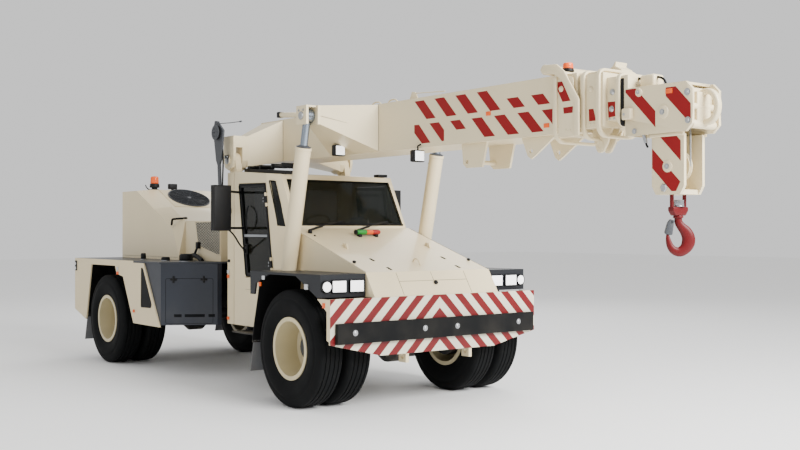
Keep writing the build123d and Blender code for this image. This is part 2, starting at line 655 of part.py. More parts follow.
def hook_block():
    """Housing of the hook block: two cheeks, end plates and its sheave pin."""
    x = HANG[0]
    cheek = [(x - BLOCK_HALF_X, BLOCK_TOP), (x + BLOCK_HALF_X, BLOCK_TOP), (x + BLOCK_HALF_X, BLOCK_LOW + 70),
             (x + BLOCK_HALF_X - 40, BLOCK_LOW), (x - BLOCK_HALF_X + 40, BLOCK_LOW), (x - BLOCK_HALF_X, BLOCK_LOW + 70)]
    parts = []
    for s in (-1, 1):
        parts.append(side_plate(cheek, s * (BLOCK_HALF_Y - 30), s * BLOCK_HALF_Y))
    parts.append(block(x - BLOCK_HALF_X, x - BLOCK_HALF_X + 12, -BLOCK_HALF_Y, BLOCK_HALF_Y, BLOCK_LOW + 70, BLOCK_TOP))
    parts.append(block(x - 120, x + 120, -BLOCK_HALF_Y, BLOCK_HALF_Y, BLOCK_LOW, BLOCK_LOW + BLOCK_FLOOR))
    parts.append(rod((x, -BLOCK_HALF_Y, BLOCK_SHEAVE_Z), (x, BLOCK_HALF_Y, BLOCK_SHEAVE_Z), SHEAVE_PIN_R))
    whole = fuse(parts[0], *parts[1:])
    return whole - rod((x, 0, BLOCK_LOW - 1), (x, 0, BLOCK_LOW + BLOCK_FLOOR + 1), SHANK_R + RUN)


def block_sheave():
    """Sheave in the hook block."""
    return sheave(HANG[0], BLOCK_SHEAVE_Z)


def rope_falls(z0, z1):
    """The two falls of the hoist rope between two heights."""
    offset = SHEAVE_R - ROPE_R
    return [rod((HANG[0] + s * offset, 0, z0), (HANG[0] + s * offset, 0, z1), ROPE_R) for s in (-1, 1)]


def hook():
    """Yoke, shank and hook."""
    x = HANG[0]
    low = BLOCK_LOW - CLEAR
    floor = BLOCK_LOW + BLOCK_FLOOR
    yoke = block(x - 60, x + 60, -70, 70, low - 130, low - 80)
    arms = [block(x - 30, x + 30, s * 45, s * 70, low - 100, low) for s in (-1, 1)]
    bridge = block(x - 30, x + 30, -70, 70, low - 15, low)
    pin = rod((x, 0, low - 10), (x, 0, floor + 32), SHANK_R)
    nut = rod((x, 0, floor + RUN), (x, 0, floor + 32), SHANK_R + 18)
    shank = rod((x, 0, low - 200), (x, 0, low - 120), 32)
    points = []
    for angle in HOOK_ARC:
        points.append((x + HOOK_R * cos(radians(angle)), 0, HOOK_Z + HOOK_R * sin(radians(angle))))
    arc = ThreePointArc(*points)
    section = Plane(origin=points[0], z_dir=arc % 0) * Circle(34)
    bow = sweep(section, path=arc)
    return fuse(bow, shank, yoke, bridge, pin, nut, *arms)


def unit_xz(p, q):
    """Unit vector from p to q in the XZ plane."""
    length = hypot(q[0] - p[0], q[1] - p[1])
    return (q[0] - p[0]) / length, (q[1] - p[1]) / length


def lift_barrel(s):
    """Barrel of one lift cylinder."""
    (x0, z0), (ux, uz) = LIFT_LOW, unit_xz(LIFT_LOW, LIFT_HIGH)
    y = s * LIFT_Y
    start = 100.0
    neck = rod((x0, y, z0), (x0 + ux * (start + 20), y, z0 + uz * (start + 20)), EYE_HALF)
    body = rod((x0 + ux * start, y, z0 + uz * start), (x0 + ux * BARREL_LENGTH, y, z0 + uz * BARREL_LENGTH), BARREL_R)
    cap = BARREL_LENGTH - 30
    gland = rod((x0 + ux * cap, y, z0 + uz * cap), (x0 + ux * BARREL_LENGTH, y, z0 + uz * BARREL_LENGTH), BARREL_R + 6)
    eye = rod((x0, y - EYE_HALF, z0), (x0, y + EYE_HALF, z0), EYE_R)
    bore = rod((x0, y - 100, z0), (x0, y + 100, z0), LIFT_PIN_R + RUN)
    hollow = rod((x0 + ux * 200, y, z0 + uz * 200), (x0 + ux * 3000, y, z0 + uz * 3000), ROD_R + RUN)
    return fuse(body, gland, eye, neck) - bore - hollow


def lift_rod(s):
    """Rod of one lift cylinder with its eye."""
    (x1, z1), (ux, uz) = LIFT_HIGH, unit_xz(LIFT_LOW, LIFT_HIGH)
    x0, z0 = LIFT_LOW
    y = s * LIFT_Y
    bar = rod((x0 + ux * 260, y, z0 + uz * 260), (x1, y, z1), ROD_R)
    eye = rod((x1, y - EYE_HALF, z1), (x1, y + EYE_HALF, z1), EYE_R)
    return fuse(bar, eye)


def steer_cylinder(s):
    """Barrel and rod of one steering cylinder."""
    x0, y0 = STEER_BARREL[0], s * STEER_BARREL[1]
    x1, y1 = STEER_EYE[0], s * STEER_EYE[1]
    length = hypot(x1 - x0, y1 - y0)
    ux, uy = (x1 - x0) / length, (y1 - y0) / length

    def along(distance):
        return x0 + distance * ux, y0 + distance * uy, STEER_Z

    low, high = STEER_Z - STEER_EYE_HALF, STEER_Z + STEER_EYE_HALF
    base = STEER_EYE_R + 24.0
    body = rod(along(base), along(STEER_MOUTH), STEER_BARREL_R)
    neck = rod(along(0.0), along(base + 10.0), STEER_EYE_HALF - 3.0)
    eye = rod((x0, y0, low), (x0, y0, high), STEER_EYE_R)
    pin_hole = rod((x0, y0, low - 50), (x0, y0, high + 50), STEER_PIN_R + RUN)
    inside = rod(along(base + 5.0), along(length), STEER_ROD_R + RUN)
    barrel = fuse(body, neck, eye) - pin_hole - inside
    bar = rod(along(length - STEER_ROD_LENGTH), along(length), STEER_ROD_R)
    end = rod((x1, y1, low), (x1, y1, high), STEER_EYE_R)
    return barrel, fuse(bar, end)


def clevis(x0, x1, y0, y1):
    """Two plates above and below a steering cylinder's eye."""
    gap = STEER_EYE_HALF + LUG_GAP
    return [block(x0, x1, y0, y1, z, z + PLATE) for z in (STEER_Z - gap - PLATE, STEER_Z + gap)]


def rear_frame():
    """Rails of the engine module, the boss on the steering pin and the cylinder lugs."""
    parts = []
    front = STEER_EYE[0] - STEER_EYE_R - EYE_DRIFT
    for s in (-1, 1):
        parts.append(block(-5980, front - 20, s * RAIL_IN, s * RAIL_OUT, RAIL_LOW, RAIL_HIGH - 60))
    for x0, x1 in ((front - 100.0, front), (-4200.0, -4100.0), (-5980.0, -5880.0)):
        parts.append(block(x0, x1, -RAIL_IN - 10, RAIL_IN + 10, RAIL_LOW - 60, RAIL_HIGH - 80))
    for s in (-1, 1):
        eye_x, eye_y = STEER_EYE[0], s * STEER_EYE[1]
        parts += clevis(front - 30, eye_x + 45, eye_y - 50, eye_y + 50)
    parts.append(block(front - 10, STEER_PIVOT, -110, 110, 630, 970))
    parts.append(rod((STEER_PIVOT, 0, 630), (STEER_PIVOT, 0, 970), 110))
    whole = fuse(parts[0], *parts[1:])
    return whole - rod((STEER_PIVOT, 0, 500), (STEER_PIVOT, 0, 1100), 60 + RUN)


# Outline of the side panel behind the front edge of the rear wheel arch, (x, z)
SIDE_PANEL = [
    (-6000.0, 690.0), (-6000.0, DECK_TOP), (-3580.0, DECK_TOP), (-3080.0, 615.0), (-3885.0, 615.0),
    (-4230.0, 1220.0), (-4450.0, 1255.0), (-4500.0, 1360.0), (-5360.0, 1360.0), (-5540.0, 610.0), (-5570.0, 560.0),
]


def rear_body():
    """Side panels, deck and tail panel."""
    parts = [plan_plate([(-6000, -BODY_HALF), (-3080, -BODY_HALF), (-2690, -700), (-2690, 700), (-3080, BODY_HALF),
                         (-6000, BODY_HALF)], DECK_TOP - BODY_SHEET, DECK_TOP)]
    for s in (-1, 1):
        parts.append(side_plate(SIDE_PANEL, s * (BODY_HALF - BODY_SHEET), s * BODY_HALF))
        parts.append(block(-5562, -5547, s * (RAIL_OUT + RUN), s * (BODY_HALF - 5), 620, DECK_TOP - 10))
        parts.append(block(-5990, -2900, s * RAIL_IN, s * RAIL_OUT, RAIL_HIGH - 60, DECK_TOP - 10))
    parts.append(block(-6000, -5980, -BODY_HALF, BODY_HALF, 690, DECK_TOP))
    for x in (-5562.0, -4000.0, -2915.0):
        parts.append(block(x, x + 15, -RAIL_OUT - 5, RAIL_OUT + 5, RAIL_HIGH - 60, DECK_TOP - 10))
    return fuse(parts[0], *parts[1:])


def radiator():
    """Cooler box between the hood and the cab."""
    x0, x1 = RADIATOR_X
    return block(x0, x1, -RADIATOR_HALF, RADIATOR_HALF, DECK_TOP, RADIATOR_TOP)


def reel_bracket():
    """Post behind the right of the cab with a forked plate for a cable reel."""
    plate = side_plate([(-2330, 3060), (-2290, 3190), (-2235, 3185), (-2075, 3060), (-2140, 2700), (-2195, 2600),
                        (-2255, 2700)], REEL_Y - 12, REEL_Y + 12)
    post = side_plate([(-2225, 2660), (-2165, 2660), (-2125, 2050), (-2175, 2050)], REEL_Y - 10, REEL_Y + 10)
    foot = block(-2190, -2100, REEL_Y - 30, -CAB_HALF, 2050, 2110)
    drum = rod((-2215, REEL_Y - 45, 3040), (-2215, REEL_Y + 10, 3040), 75)
    return fuse(plate, post, foot, drum)


def roof_tray():
    """Shallow tray for hoses along the right edge of the cab roof."""
    x0, x1 = -2000.0, -1080.0
    low = [(x, roof_z(x) + RUN) for x in (x0, x1)]
    high = [(x, z + 42.0) for x, z in reversed(low)]
    return side_plate(low + high, -760, -560)


def tank_cover():
    """Right tank with its sloped front corner."""
    outline = [(-3885, -BODY_HALF + BODY_SHEET), (-3080, -BODY_HALF + BODY_SHEET), (-2690, -760), (-2690, -700), (-3885, -700)]
    return plan_plate(outline, 640, DECK_TOP - BODY_SHEET)


def engine_hood():
    """Sheet hood over the engine."""
    outer = [(-5850, DECK_TOP), (-5850, 2440), (-5330, 2440), (-4130, 1870), (-3930, 1480), (-3930, DECK_TOP)]
    inner = [(-5830, DECK_TOP), (-5830, 2420), (-5335, 2420), (-4145, 1855), (-3950, 1475), (-3950, DECK_TOP)]
    return side_plate(outer, -700, 700) - side_plate(inner, -680, 680)


def seat_pads():
    """Cushion and back of the driver's seat."""
    cushion = block(-1700, -1230, SEAT_Y - 240, SEAT_Y + 240, SEAT_TOP - 120, SEAT_TOP)
    back = side_plate([(-1705, SEAT_TOP), (-1825, SEAT_TOP + 560), (-1940, SEAT_TOP + 560), (-1820, SEAT_TOP)],
                      SEAT_Y - 230, SEAT_Y + 230)
    return [cushion, back]


def seat_base():
    """Pedestal and back plate under the seat pads."""
    floor = CAB_FLOOR + CAB_WALL
    base = block(-1650, -1300, SEAT_Y - 160, SEAT_Y + 160, floor, SEAT_TOP - 140)
    pan = block(-1850, -1250, SEAT_Y - 220, SEAT_Y + 220, SEAT_TOP - 140, SEAT_TOP - 120 - RUN)
    post = side_plate([(-1840, SEAT_TOP - 140), (-1820.4, SEAT_TOP - 140), (-1820.4, SEAT_TOP), (-1936.1, SEAT_TOP + 540),
                       (-1955, SEAT_TOP + 540), (-1840, SEAT_TOP - 20)], SEAT_Y - 150, SEAT_Y + 150)
    return fuse(base, pan, post)


def dashboard():
    """Instrument panel across the front of the cab with the steering column."""
    floor = CAB_FLOOR + CAB_WALL
    ledge = FENDER_TOP + CAB_WALL + RUN
    shelf = side_plate([(-995, floor), (-1120, floor), (-1120, 1500), (-1080, 1840), (-860, 1850), (-860, ledge),
                        (-995, ledge)], -740, 740)
    column = rod((-1050, SEAT_Y, 1700), (-1224.5, SEAT_Y, 1874.5), 28)
    return fuse(shelf, column)


def steering_wheel():
    """Ring, spokes and hub of the steering wheel."""
    tilt = Plane(origin=(-1232, SEAT_Y, 1882), x_dir=(0, 1, 0), z_dir=(-1, 0, 1))
    rim = tilt * Torus(200, 14)
    hub = tilt * Cylinder(40, 20)
    bars = [tilt * (Rot(0, 0, a) * Pos(100, 0, 0) * Box(205, 26, 12)) for a in (90, 210, 330)]
    return fuse(rim, hub, *bars)


def winch():
    """Hoist drum in the rear of the boom."""
    x, z = WINCH
    outline = [(30 + RUN, -230), (170, -230), (170, -215), (110, -215), (110, 215), (170, 215), (170, 230), (30 + RUN, 230)]
    return spun(outline, x, z)


os.makedirs("parts", exist_ok=True)

WHEELS = [("front_right", -1, 0.0), ("front_left", 1, 0.0), ("rear_right", -1, -WHEELBASE), ("rear_left", 1, -WHEELBASE)]
for label, side, place in WHEELS:
    rim, tyres = wheel(side, place)
    save(f"rim_{label}", rim)
    save(f"tyres_{label}", tyres)

save("front_frame", front_frame())
save("front_axle", axle(0.0))
save("bumper", bumper())
save("bumper_pad", block(BUMPER_X, BUMPER_X + PAD_THICK, -PAD_HALF, PAD_HALF, PAD_LOW, PAD_HIGH))
save("nose_cowl", nose_cowl())
save("front_fenders", both(fender()))
save("arch_liners", both(arch_liner()))
save("front_mudflaps", both(mudflap(-735.0, FLAP_TOP, 70.0, 340.0)))
save("headlamps", both_all(headlamps()))
save("seat_pads", seat_pads())
save("seat_base", seat_base())
save("dashboard", dashboard())
save("steering_wheel", steering_wheel())
save("cab_shell", cab_shell())
save("cab_glass", cab_glass())
for label, flip in (("right", False), ("left", True)):
    turn = mirrored if flip else (lambda solid: solid)
    save(f"door_{label}", turn(door()))
    save(f"door_glass_{label}", [turn(pane) for pane in door_panes()])
    save(f"mirror_{label}", turn(door_mirror()))

save("boom_base", boom_base())
save("boom_second", boom_section(1))
save("boom_third", boom_section(2))
save("boom_tip", boom_tip())
save("head_sheave", head_sheave())
save("rope_upper", rope_falls(BLOCK_TOP, HANG[1]))
save("rope_lower", rope_falls(BLOCK_SHEAVE_Z, BLOCK_TOP - RUN))
save("hook_block", hook_block())
save("block_sheave", block_sheave())
save("hook", hook())
save("lift_barrels", lift_barrel(-1), lift_barrel(1))
save("lift_rods", lift_rod(-1), lift_rod(1))

for label, side in (("right", -1), ("left", 1)):
    barrel, bar = steer_cylinder(side)
    save(f"steer_barrel_{label}", barrel)
    save(f"steer_rod_{label}", bar)

save("rear_frame", rear_frame())
save("rear_axle", axle(-WHEELBASE))
save("rear_body", rear_body())
save("tanks", both(tank_cover()))
save("engine_hood", engine_hood())
save("radiator", radiator())
save("reel_bracket", reel_bracket())
save("roof_tray", roof_tray())
save("winch", winch())
save("rear_mudflaps", both(mudflap(-5562.0, 620.0, 100.0, 360.0)))
save("engine_block", block(-5600, -4300, -450, 450, DECK_TOP, 1850))
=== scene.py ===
"""Looks of an articulated mobile crane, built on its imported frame.

Lengths are metres in the crane's own frame: +X forward, +Y to the machine's left, +Z up, ground at Z 0.
"""

from __future__ import annotations

import json
import logging
from dataclasses import dataclass, field
from enum import Enum
from math import atan2, cos, hypot, pi, radians, sin, tan
from typing import Sequence, Union

import bmesh
import bpy
from mathutils import Matrix, Vector

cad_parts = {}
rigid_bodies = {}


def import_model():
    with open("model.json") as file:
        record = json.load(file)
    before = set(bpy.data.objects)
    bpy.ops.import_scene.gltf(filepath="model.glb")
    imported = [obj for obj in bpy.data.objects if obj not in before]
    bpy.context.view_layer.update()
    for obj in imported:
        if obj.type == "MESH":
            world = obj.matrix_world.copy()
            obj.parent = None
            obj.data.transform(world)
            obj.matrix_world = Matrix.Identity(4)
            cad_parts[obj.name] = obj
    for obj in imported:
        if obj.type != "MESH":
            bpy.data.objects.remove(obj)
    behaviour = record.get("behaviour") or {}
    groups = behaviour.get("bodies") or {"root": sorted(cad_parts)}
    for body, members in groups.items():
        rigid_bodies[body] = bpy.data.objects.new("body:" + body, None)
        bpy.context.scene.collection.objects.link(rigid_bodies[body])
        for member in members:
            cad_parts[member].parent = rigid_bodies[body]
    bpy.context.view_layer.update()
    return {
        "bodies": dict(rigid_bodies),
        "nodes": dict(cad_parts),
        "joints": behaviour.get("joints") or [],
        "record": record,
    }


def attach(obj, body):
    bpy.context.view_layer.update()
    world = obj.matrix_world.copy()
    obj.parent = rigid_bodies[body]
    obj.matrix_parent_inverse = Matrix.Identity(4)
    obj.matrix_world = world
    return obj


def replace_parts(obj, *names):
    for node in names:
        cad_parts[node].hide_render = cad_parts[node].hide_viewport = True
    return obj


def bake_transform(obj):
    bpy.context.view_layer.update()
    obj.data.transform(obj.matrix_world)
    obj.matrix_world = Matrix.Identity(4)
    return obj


LOG = logging.getLogger("crane")
Point = Sequence[float]
Colour = tuple[float, float, float]
X_AXIS, Y_AXIS, Z_AXIS = (1, 0, 0), (0, 1, 0), (0, 0, 1)
# The bodies that carry the cab and the engine
FRONT, REAR = "cab_module", "rear_module"
# Signs of Y on the right and left half
HALVES = (-1, 1)
# The rope's and the hook's place along the machine, and the windscreen's lower and upper edge
HEAD_X = 4.738
SCREEN_FOOT = Vector((0.07, 0, 1.886))
SCREEN_HEAD = Vector((-0.21, 0, 2.431))
SCREEN_OUT = Vector((SCREEN_HEAD.z - SCREEN_FOOT.z, 0, SCREEN_FOOT.x - SCREEN_HEAD.x)).normalized()


def srgb(text: str) -> Colour:
    """Linear colour of a hexadecimal screen colour."""
    parts = [int(text[i:i + 2], 16) / 255 for i in (0, 2, 4)]
    return tuple(p / 12.92 if p < 0.04045 else ((p + 0.055) / 1.055) ** 2.4 for p in parts)


def shade(colour: Colour, share: float) -> Colour:
    """A colour times a number."""
    return tuple(c * share for c in colour)


class Sock:
    """A shader socket that is used like a number in Python expressions."""

    def __init__(self, tree: "Tree", socket: bpy.types.NodeSocket) -> None:
        """Keeps the socket and the tree it belongs to."""
        self.tree, self.socket = tree, socket

    def math(self, operation: str, *others: Value, clamp: bool = False) -> "Sock":
        """Adds a Math node.

        Args:
            operation: the node's operation.
            others: the further operands.
            clamp: whether the result is held between 0 and 1.

        Returns:
            The node's output.
        """
        settings = {"operation": operation, "use_clamp": clamp}
        return self.tree.node("ShaderNodeMath", settings, dict(enumerate((self, *others))))

    def _swapped(self, operation: str, other: Value) -> "Sock":
        """The same with the operands the other way round."""
        return self.tree.node("ShaderNodeMath", {"operation": operation}, {0: other, 1: self})

    def __add__(self, other: Value) -> "Sock":
        """Sum."""
        return self.math("ADD", other)

    def __radd__(self, other: Value) -> "Sock":
        """Reflected sum."""
        return self.math("ADD", other)

    def __sub__(self, other: Value) -> "Sock":
        """Difference."""
        return self.math("SUBTRACT", other)

    def __rsub__(self, other: Value) -> "Sock":
        """Reflected difference."""
        return self._swapped("SUBTRACT", other)

    def __mul__(self, other: Value) -> "Sock":
        """Product."""
        return self.math("MULTIPLY", other)

    def __rmul__(self, other: Value) -> "Sock":
        """Reflected product."""
        return self.math("MULTIPLY", other)

    def __truediv__(self, other: Value) -> "Sock":
        """Quotient."""
        return self.math("DIVIDE", other)

    def __gt__(self, other: Value) -> "Sock":
        """1 where this is the larger."""
        return self.math("GREATER_THAN", other)

    def __lt__(self, other: Value) -> "Sock":
        """1 where this is the smaller."""
        return self.math("LESS_THAN", other)

    def __abs__(self) -> "Sock":
        """Size without its sign."""
        return self.math("ABSOLUTE")

    def ramp(self, low: float, high: float) -> "Sock":
        """Rises smoothly from 0 at low to 1 at high."""
        settings = {"interpolation_type": "SMOOTHSTEP"}
        return self.tree.node("ShaderNodeMapRange", settings, {0: self, 1: low, 2: high, 3: 0.0, 4: 1.0})


Value = Union[Sock, float]


class Tree:
    """The nodes of one material."""

    def __init__(self, name: str) -> None:
        """Starts a material with one Principled shader."""
        self.material = bpy.data.materials.new(name)
        self.material.use_nodes = True
        self.nodes = self.material.node_tree.nodes
        self.links = self.material.node_tree.links
        self.nodes.clear()
        self.shader = self.nodes.new("ShaderNodeBsdfPrincipled")
        out = self.nodes.new("ShaderNodeOutputMaterial")
        self.links.new(self.shader.outputs[0], out.inputs[0])
        self.place = self.node("ShaderNodeTexCoord", output="Object")
        self.facing = self.node("ShaderNodeTexCoord", output="Normal")

    def node(self, kind: str, settings: dict | None = None, inputs: dict | None = None,
             output: int | str = 0) -> Sock:
        """Adds a node.

        Args:
            kind: the node's type.
            settings: its properties, which are set first.
            inputs: values or links of its sockets, by name or number.
            output: which output to return.

        Returns:
            The chosen output.
        """
        made = self.nodes.new(kind)
        for key, value in (settings or {}).items():
            setattr(made, key, value)
        for key, value in (inputs or {}).items():
            if isinstance(value, Sock):
                self.links.new(value.socket, made.inputs[key])
            else:
                made.inputs[key].default_value = value
        return Sock(self, made.outputs[output])

    def feed(self, name: str, value: Value | Colour) -> None:
        """Sets or links an input of the Principled shader."""
        if isinstance(value, Sock):
            self.links.new(value.socket, self.shader.inputs[name])
        elif isinstance(value, tuple):
            self.shader.inputs[name].default_value = (*value, 1.0)
        else:
            self.shader.inputs[name].default_value = value

    def noise(self, scale: float, detail: float = 3.0, where: Sock | None = None) -> Sock:
        """Noise from 0 to 1 on object coordinates."""
        return self.node("ShaderNodeTexNoise", None, {"Vector": where or self.place, "Scale": scale,
                                                      "Detail": detail})

    def axis(self, letter: str, of: Sock | None = None) -> Sock:
        """One coordinate of a point or direction."""
        return self.node("ShaderNodeSeparateXYZ", None, {0: of or self.place}, "XYZ".index(letter.upper()))

    def mix(self, share: Value, one: Sock | Colour, two: Sock | Colour) -> Sock:
        """Colour one where share is 0 and colour two where it is 1."""
        ends = [value if isinstance(value, Sock) else (*value, 1.0) for value in (one, two)]
        return self.node("ShaderNodeMix", {"data_type": "RGBA"}, {0: share, 6: ends[0], 7: ends[1]}, 2)

    def edges(self, radius: float) -> Sock:
        """The normal over rounded edges."""
        return self.node("ShaderNodeBevel", {"samples": 4}, {"Radius": radius})

    def bump(self, height: Sock, distance: float, strength: float = 1.0, normal: Sock | None = None) -> Sock:
        """A normal bent by a height."""
        inputs = {"Strength": strength, "Distance": distance, "Height": height}
        if normal is not None:
            inputs["Normal"] = normal
        return self.node("ShaderNodeBump", None, inputs)


@dataclass(frozen=True)
class Finish:
    """A surface finish: a colour that wanders a little, with grain, dust and paler edges that are part wear,
    part painted highlight.
    """

    name: str
    colour: Colour
    rough: float = 0.5
    metal: float = 0.0
    coat: float = 0.0
    mottle: float = 0.05
    grain: float = 0.0002
    grain_size: float = 220.0
    # share of the paler edges: part wear, part painted highlight
    edge: float = 0.0
    dust: float = 0.0
    gloss: float = 0.5
    slot: str = "cream_paint"

    def build(self) -> bpy.types.Material:
        """Makes the material."""
        tree = Tree(self.name)
        colour = self.tint(tree)
        normal = self.relief(tree)
        if self.dust:
            low = 1 - tree.axis("z").ramp(0.1, 1.3)
            patch = tree.noise(3.5, 5.0).ramp(0.35, 0.75)
            colour = tree.mix(low * patch * self.dust, colour, srgb("8f8678"))
        tree.feed("Base Color", colour)
        tree.feed("Roughness", self.sheen(tree))
        tree.feed("Metallic", self.metal)
        tree.feed("Coat Weight", self.coat)
        tree.feed("Specular IOR Level", self.gloss)
        tree.feed("Normal", normal)
        self.extra(tree)
        return tree.material

    def tint(self, tree: Tree) -> Sock:
        """Base colour with slow drifts, and paler edges that are part wear, part painted edge highlight."""
        deep = tuple(max(c * (1 - self.mottle), 0.0) for c in self.colour)
        pale = tuple(min(c * (1 + self.mottle), 1.0) for c in self.colour)
        colour = tree.mix(tree.noise(2.3, 4.0), deep, pale)
        if self.edge:
            rounded = tree.edges(0.006)
            flat = tree.node("ShaderNodeNewGeometry", output="Normal")
            same = tree.node("ShaderNodeVectorMath", {"operation": "DOT_PRODUCT"}, {0: rounded, 1: flat},
                             "Value")
            # Paler patches along rounded edges: part wear, part painted highlight where edges catch the
            # light.
            wear_and_highlight = (1 - same).ramp(0.03, 0.25) * tree.noise(14.0, 5.0).ramp(0.45, 0.7)
            colour = tree.mix(wear_and_highlight * self.edge, colour, tuple(min(c * 1.25 + 0.05, 1.0) for c in self.colour))
        return colour

    def sheen(self, tree: Tree) -> Sock:
        """Roughness that drifts a little."""
        return tree.noise(6.0, 4.0) * 0.12 + (self.rough - 0.06)

    def relief(self, tree: Tree) -> Sock:
        """Fine grain over rounded edges."""
        rounded = tree.edges(0.004)
        return tree.bump(tree.noise(self.grain_size, 2.0), self.grain, 0.6, rounded)

    def extra(self, tree: Tree) -> None:
        """Further sockets, for finishes that need them."""


@dataclass(frozen=True)
class ChevronPaint(Finish):
    """Body paint with mirrored warning chevrons on the face that looks forward."""

    second: Colour = (0.4, 0.02, 0.02)
    pitch: float = 0.224
    start: float = 0.582
    front: float = 1.665

    def tint(self, tree: Tree) -> Sock:
        """Red and cream stripes at 45 degrees, falling away from the middle."""
        plain = super().tint(tree)
        run = (abs(tree.axis("y")) + tree.axis("z") - self.start) / self.pitch
        red = run.math("FRACT") > 0.5
        face = (tree.axis("x", tree.facing) > 0.9) * (tree.axis("x") > self.front)
        film = tree.node("ShaderNodeTexVoronoi", None, {"Vector": tree.place, "Scale": 160.0}).ramp(0.0, 0.5)
        cream = tree.mix(film, srgb("c4bda6"), srgb("d2ccb8"))
        bright = tree.mix(film, shade(self.second, 0.86), self.second)
        return tree.mix(face, plain, tree.mix(red, cream, bright))


@dataclass(frozen=True)
class DeckPaint(Finish):
    """Cream body paint whose flat deck is slate with a non-slip grit."""

    second: Colour = (0.05, 0.06, 0.08)
    level: float = 1.435
    wall: float = 1.354
    panel_x: float = -3.04
    edge_foot: float = 1.415
    deck_foot: float = 1.4195
    tail_x: float = -5.13

    def deck(self, tree: Tree) -> Sock:
        """1 on the deck's top and on its edge over the tanks."""
        top = (tree.axis("z", tree.facing) > 0.8) * (tree.axis("z") > self.level)
        edge = (tree.axis("x") > self.panel_x) * (tree.axis("z") > self.edge_foot)
        return top.math("MAXIMUM", edge)

    def inside(self, tree: Tree) -> Sock:
        """1 under the deck, behind the side panels."""
        under = (abs(tree.axis("y")) < self.wall) * (tree.axis("z") < self.deck_foot)
        return under * (tree.axis("x") > self.tail_x)

    def tint(self, tree: Tree) -> Sock:
        """Cream, slate on the deck, black in the wheel arches."""
        grit = tree.noise(90.0, 2.0)
        slate = tree.mix(grit, shade(self.second, 0.8), shade(self.second, 1.2))
        arch = tree.mix(grit, srgb("08080a"), srgb("101113"))
        return tree.mix(self.inside(tree), tree.mix(self.deck(tree), super().tint(tree), slate), arch)


@dataclass(frozen=True)
class TowerPaint(Finish):
    """Black chassis paint whose two upright towers behind the cab are cream."""

    second: Colour = (0.7, 0.6, 0.4)
    back: float = -1.365
    front: float = -1.175
    inner: float = 0.735
    foot: float = 0.69

    def tint(self, tree: Tree) -> Sock:
        """Black, or cream on the towers."""
        lengthwise = (tree.axis("x") > self.back) * (tree.axis("x") < self.front)
        tower = lengthwise * (abs(tree.axis("y")) > self.inner) * (tree.axis("z") > self.foot)
        cream = tree.mix(tree.noise(2.3, 4.0), shade(self.second, 0.96), self.second)
        return tree.mix(tower, super().tint(tree), cream)


@dataclass(frozen=True)
class Turned(Finish):
    """Metal with fine scratches that run round or along it."""

    slot: str = "rope_steel"
    stretch: Point = (4.0, 4.0, 300.0)

    def relief(self, tree: Tree) -> Sock:
        """Drawn-out scratches."""
        drawn = tree.node("ShaderNodeVectorMath", {"operation": "MULTIPLY"},
                          {0: tree.place, 1: tuple(self.stretch)})
        return tree.bump(tree.noise(1.0, 3.0, drawn), self.grain, 0.5)


@dataclass(frozen=True)
class Grained(Finish):
    """Moulded plastic or leather-like skin with a pebbled grain."""

    slot: str = "black_rubber"

    def relief(self, tree: Tree) -> Sock:
        """Pebbles from Voronoi cells over rounded edges."""
        rounded = tree.edges(0.003)
        cells = tree.node("ShaderNodeTexVoronoi", None, {"Vector": tree.place, "Scale": self.grain_size})
        return tree.bump(cells, self.grain, 0.7, rounded)


@dataclass(frozen=True)
class Woven(Finish):
    """Seat cloth: a plain weave read from the piece's coordinates."""

    slot: str = "seat_fabric"

    def relief(self, tree: Tree) -> Sock:
        """Threads that cross over and under."""
        across = (tree.axis("x") * self.grain_size).math("SINE")
        along = (tree.axis("y") * self.grain_size).math("SINE")
        up = (tree.axis("z") * self.grain_size).math("SINE")
        return tree.bump(across * along + up * 0.5, self.grain, 0.8)


@dataclass(frozen=True)
class Pane(Finish):
    """Tinted safety glass, clear enough to show the cab's inside."""

    clear: float = 0.5

    def relief(self, tree: Tree) -> Sock:
        """A faint waviness."""
        return tree.bump(tree.noise(3.0, 1.0), self.grain, 0.3)

    def extra(self, tree: Tree) -> None:
        """Sees through the pane, less where it is dusty."""
        tree.feed("Alpha", 1 - (self.clear - tree.noise(4.0, 4.0) * 0.08))
        tree.material.surface_render_method = "BLENDED"


@dataclass(frozen=True)
class Glow(Finish):
    """A lit lamp glass with a moulded lens pattern."""

    slot: str = "lamp_glass"
    power: float = 1.0

    def extra(self, tree: Tree) -> None:
        """Light through the lens, with darker flutes."""
        flute = (tree.axis("y") * 420.0).math("SINE").ramp(-1.0, 1.0)
        tree.feed("Emission Color", tree.mix(flute, shade(self.colour, 0.8), self.colour))
        tree.feed("Emission Strength", self.power)


@dataclass(frozen=True)
class Fluted(Finish):
    """Coloured lens plastic with fine ribs inside."""

    slot: str = "lamp_glass"

    def relief(self, tree: Tree) -> Sock:
        """Ribs up the lens and along it."""
        upright = (tree.axis("z") * 900.0).math("SINE")
        ribs = upright + ((tree.axis("y") + tree.axis("x")) * 700.0).math("SINE")
        return tree.bump(ribs, self.grain, 0.5)


@dataclass(frozen=True)
class Reflective(Finish):
    """Stripe film with a honeycomb of tiny prisms."""

    slot: str = "hook_red"

    def tint(self, tree: Tree) -> Sock:
        """Honeycomb shading under the film."""
        cells = tree.node("ShaderNodeTexVoronoi", None, {"Vector": tree.place, "Scale": 170.0}).ramp(0.0, 0.5)
        return tree.mix(cells * 0.7 + tree.noise(3.0) * 0.3, shade(self.colour, 0.84), self.colour)


@dataclass(frozen=True)
class TyreRubber(Finish):
    """Tyre rubber with a dusty bloom."""

    slot: str = "tyre_rubber"

    def tint(self, tree: Tree) -> Sock:
        """Near black, greyer in patches and specks."""
        bloom = tree.noise(7.0, 6.0).ramp(0.3, 0.8) * 0.5
        speck = tree.noise(60.0, 3.0).ramp(0.5, 0.8) * 0.3
        return tree.mix(bloom + speck, self.colour, shade(self.colour, 2.1))


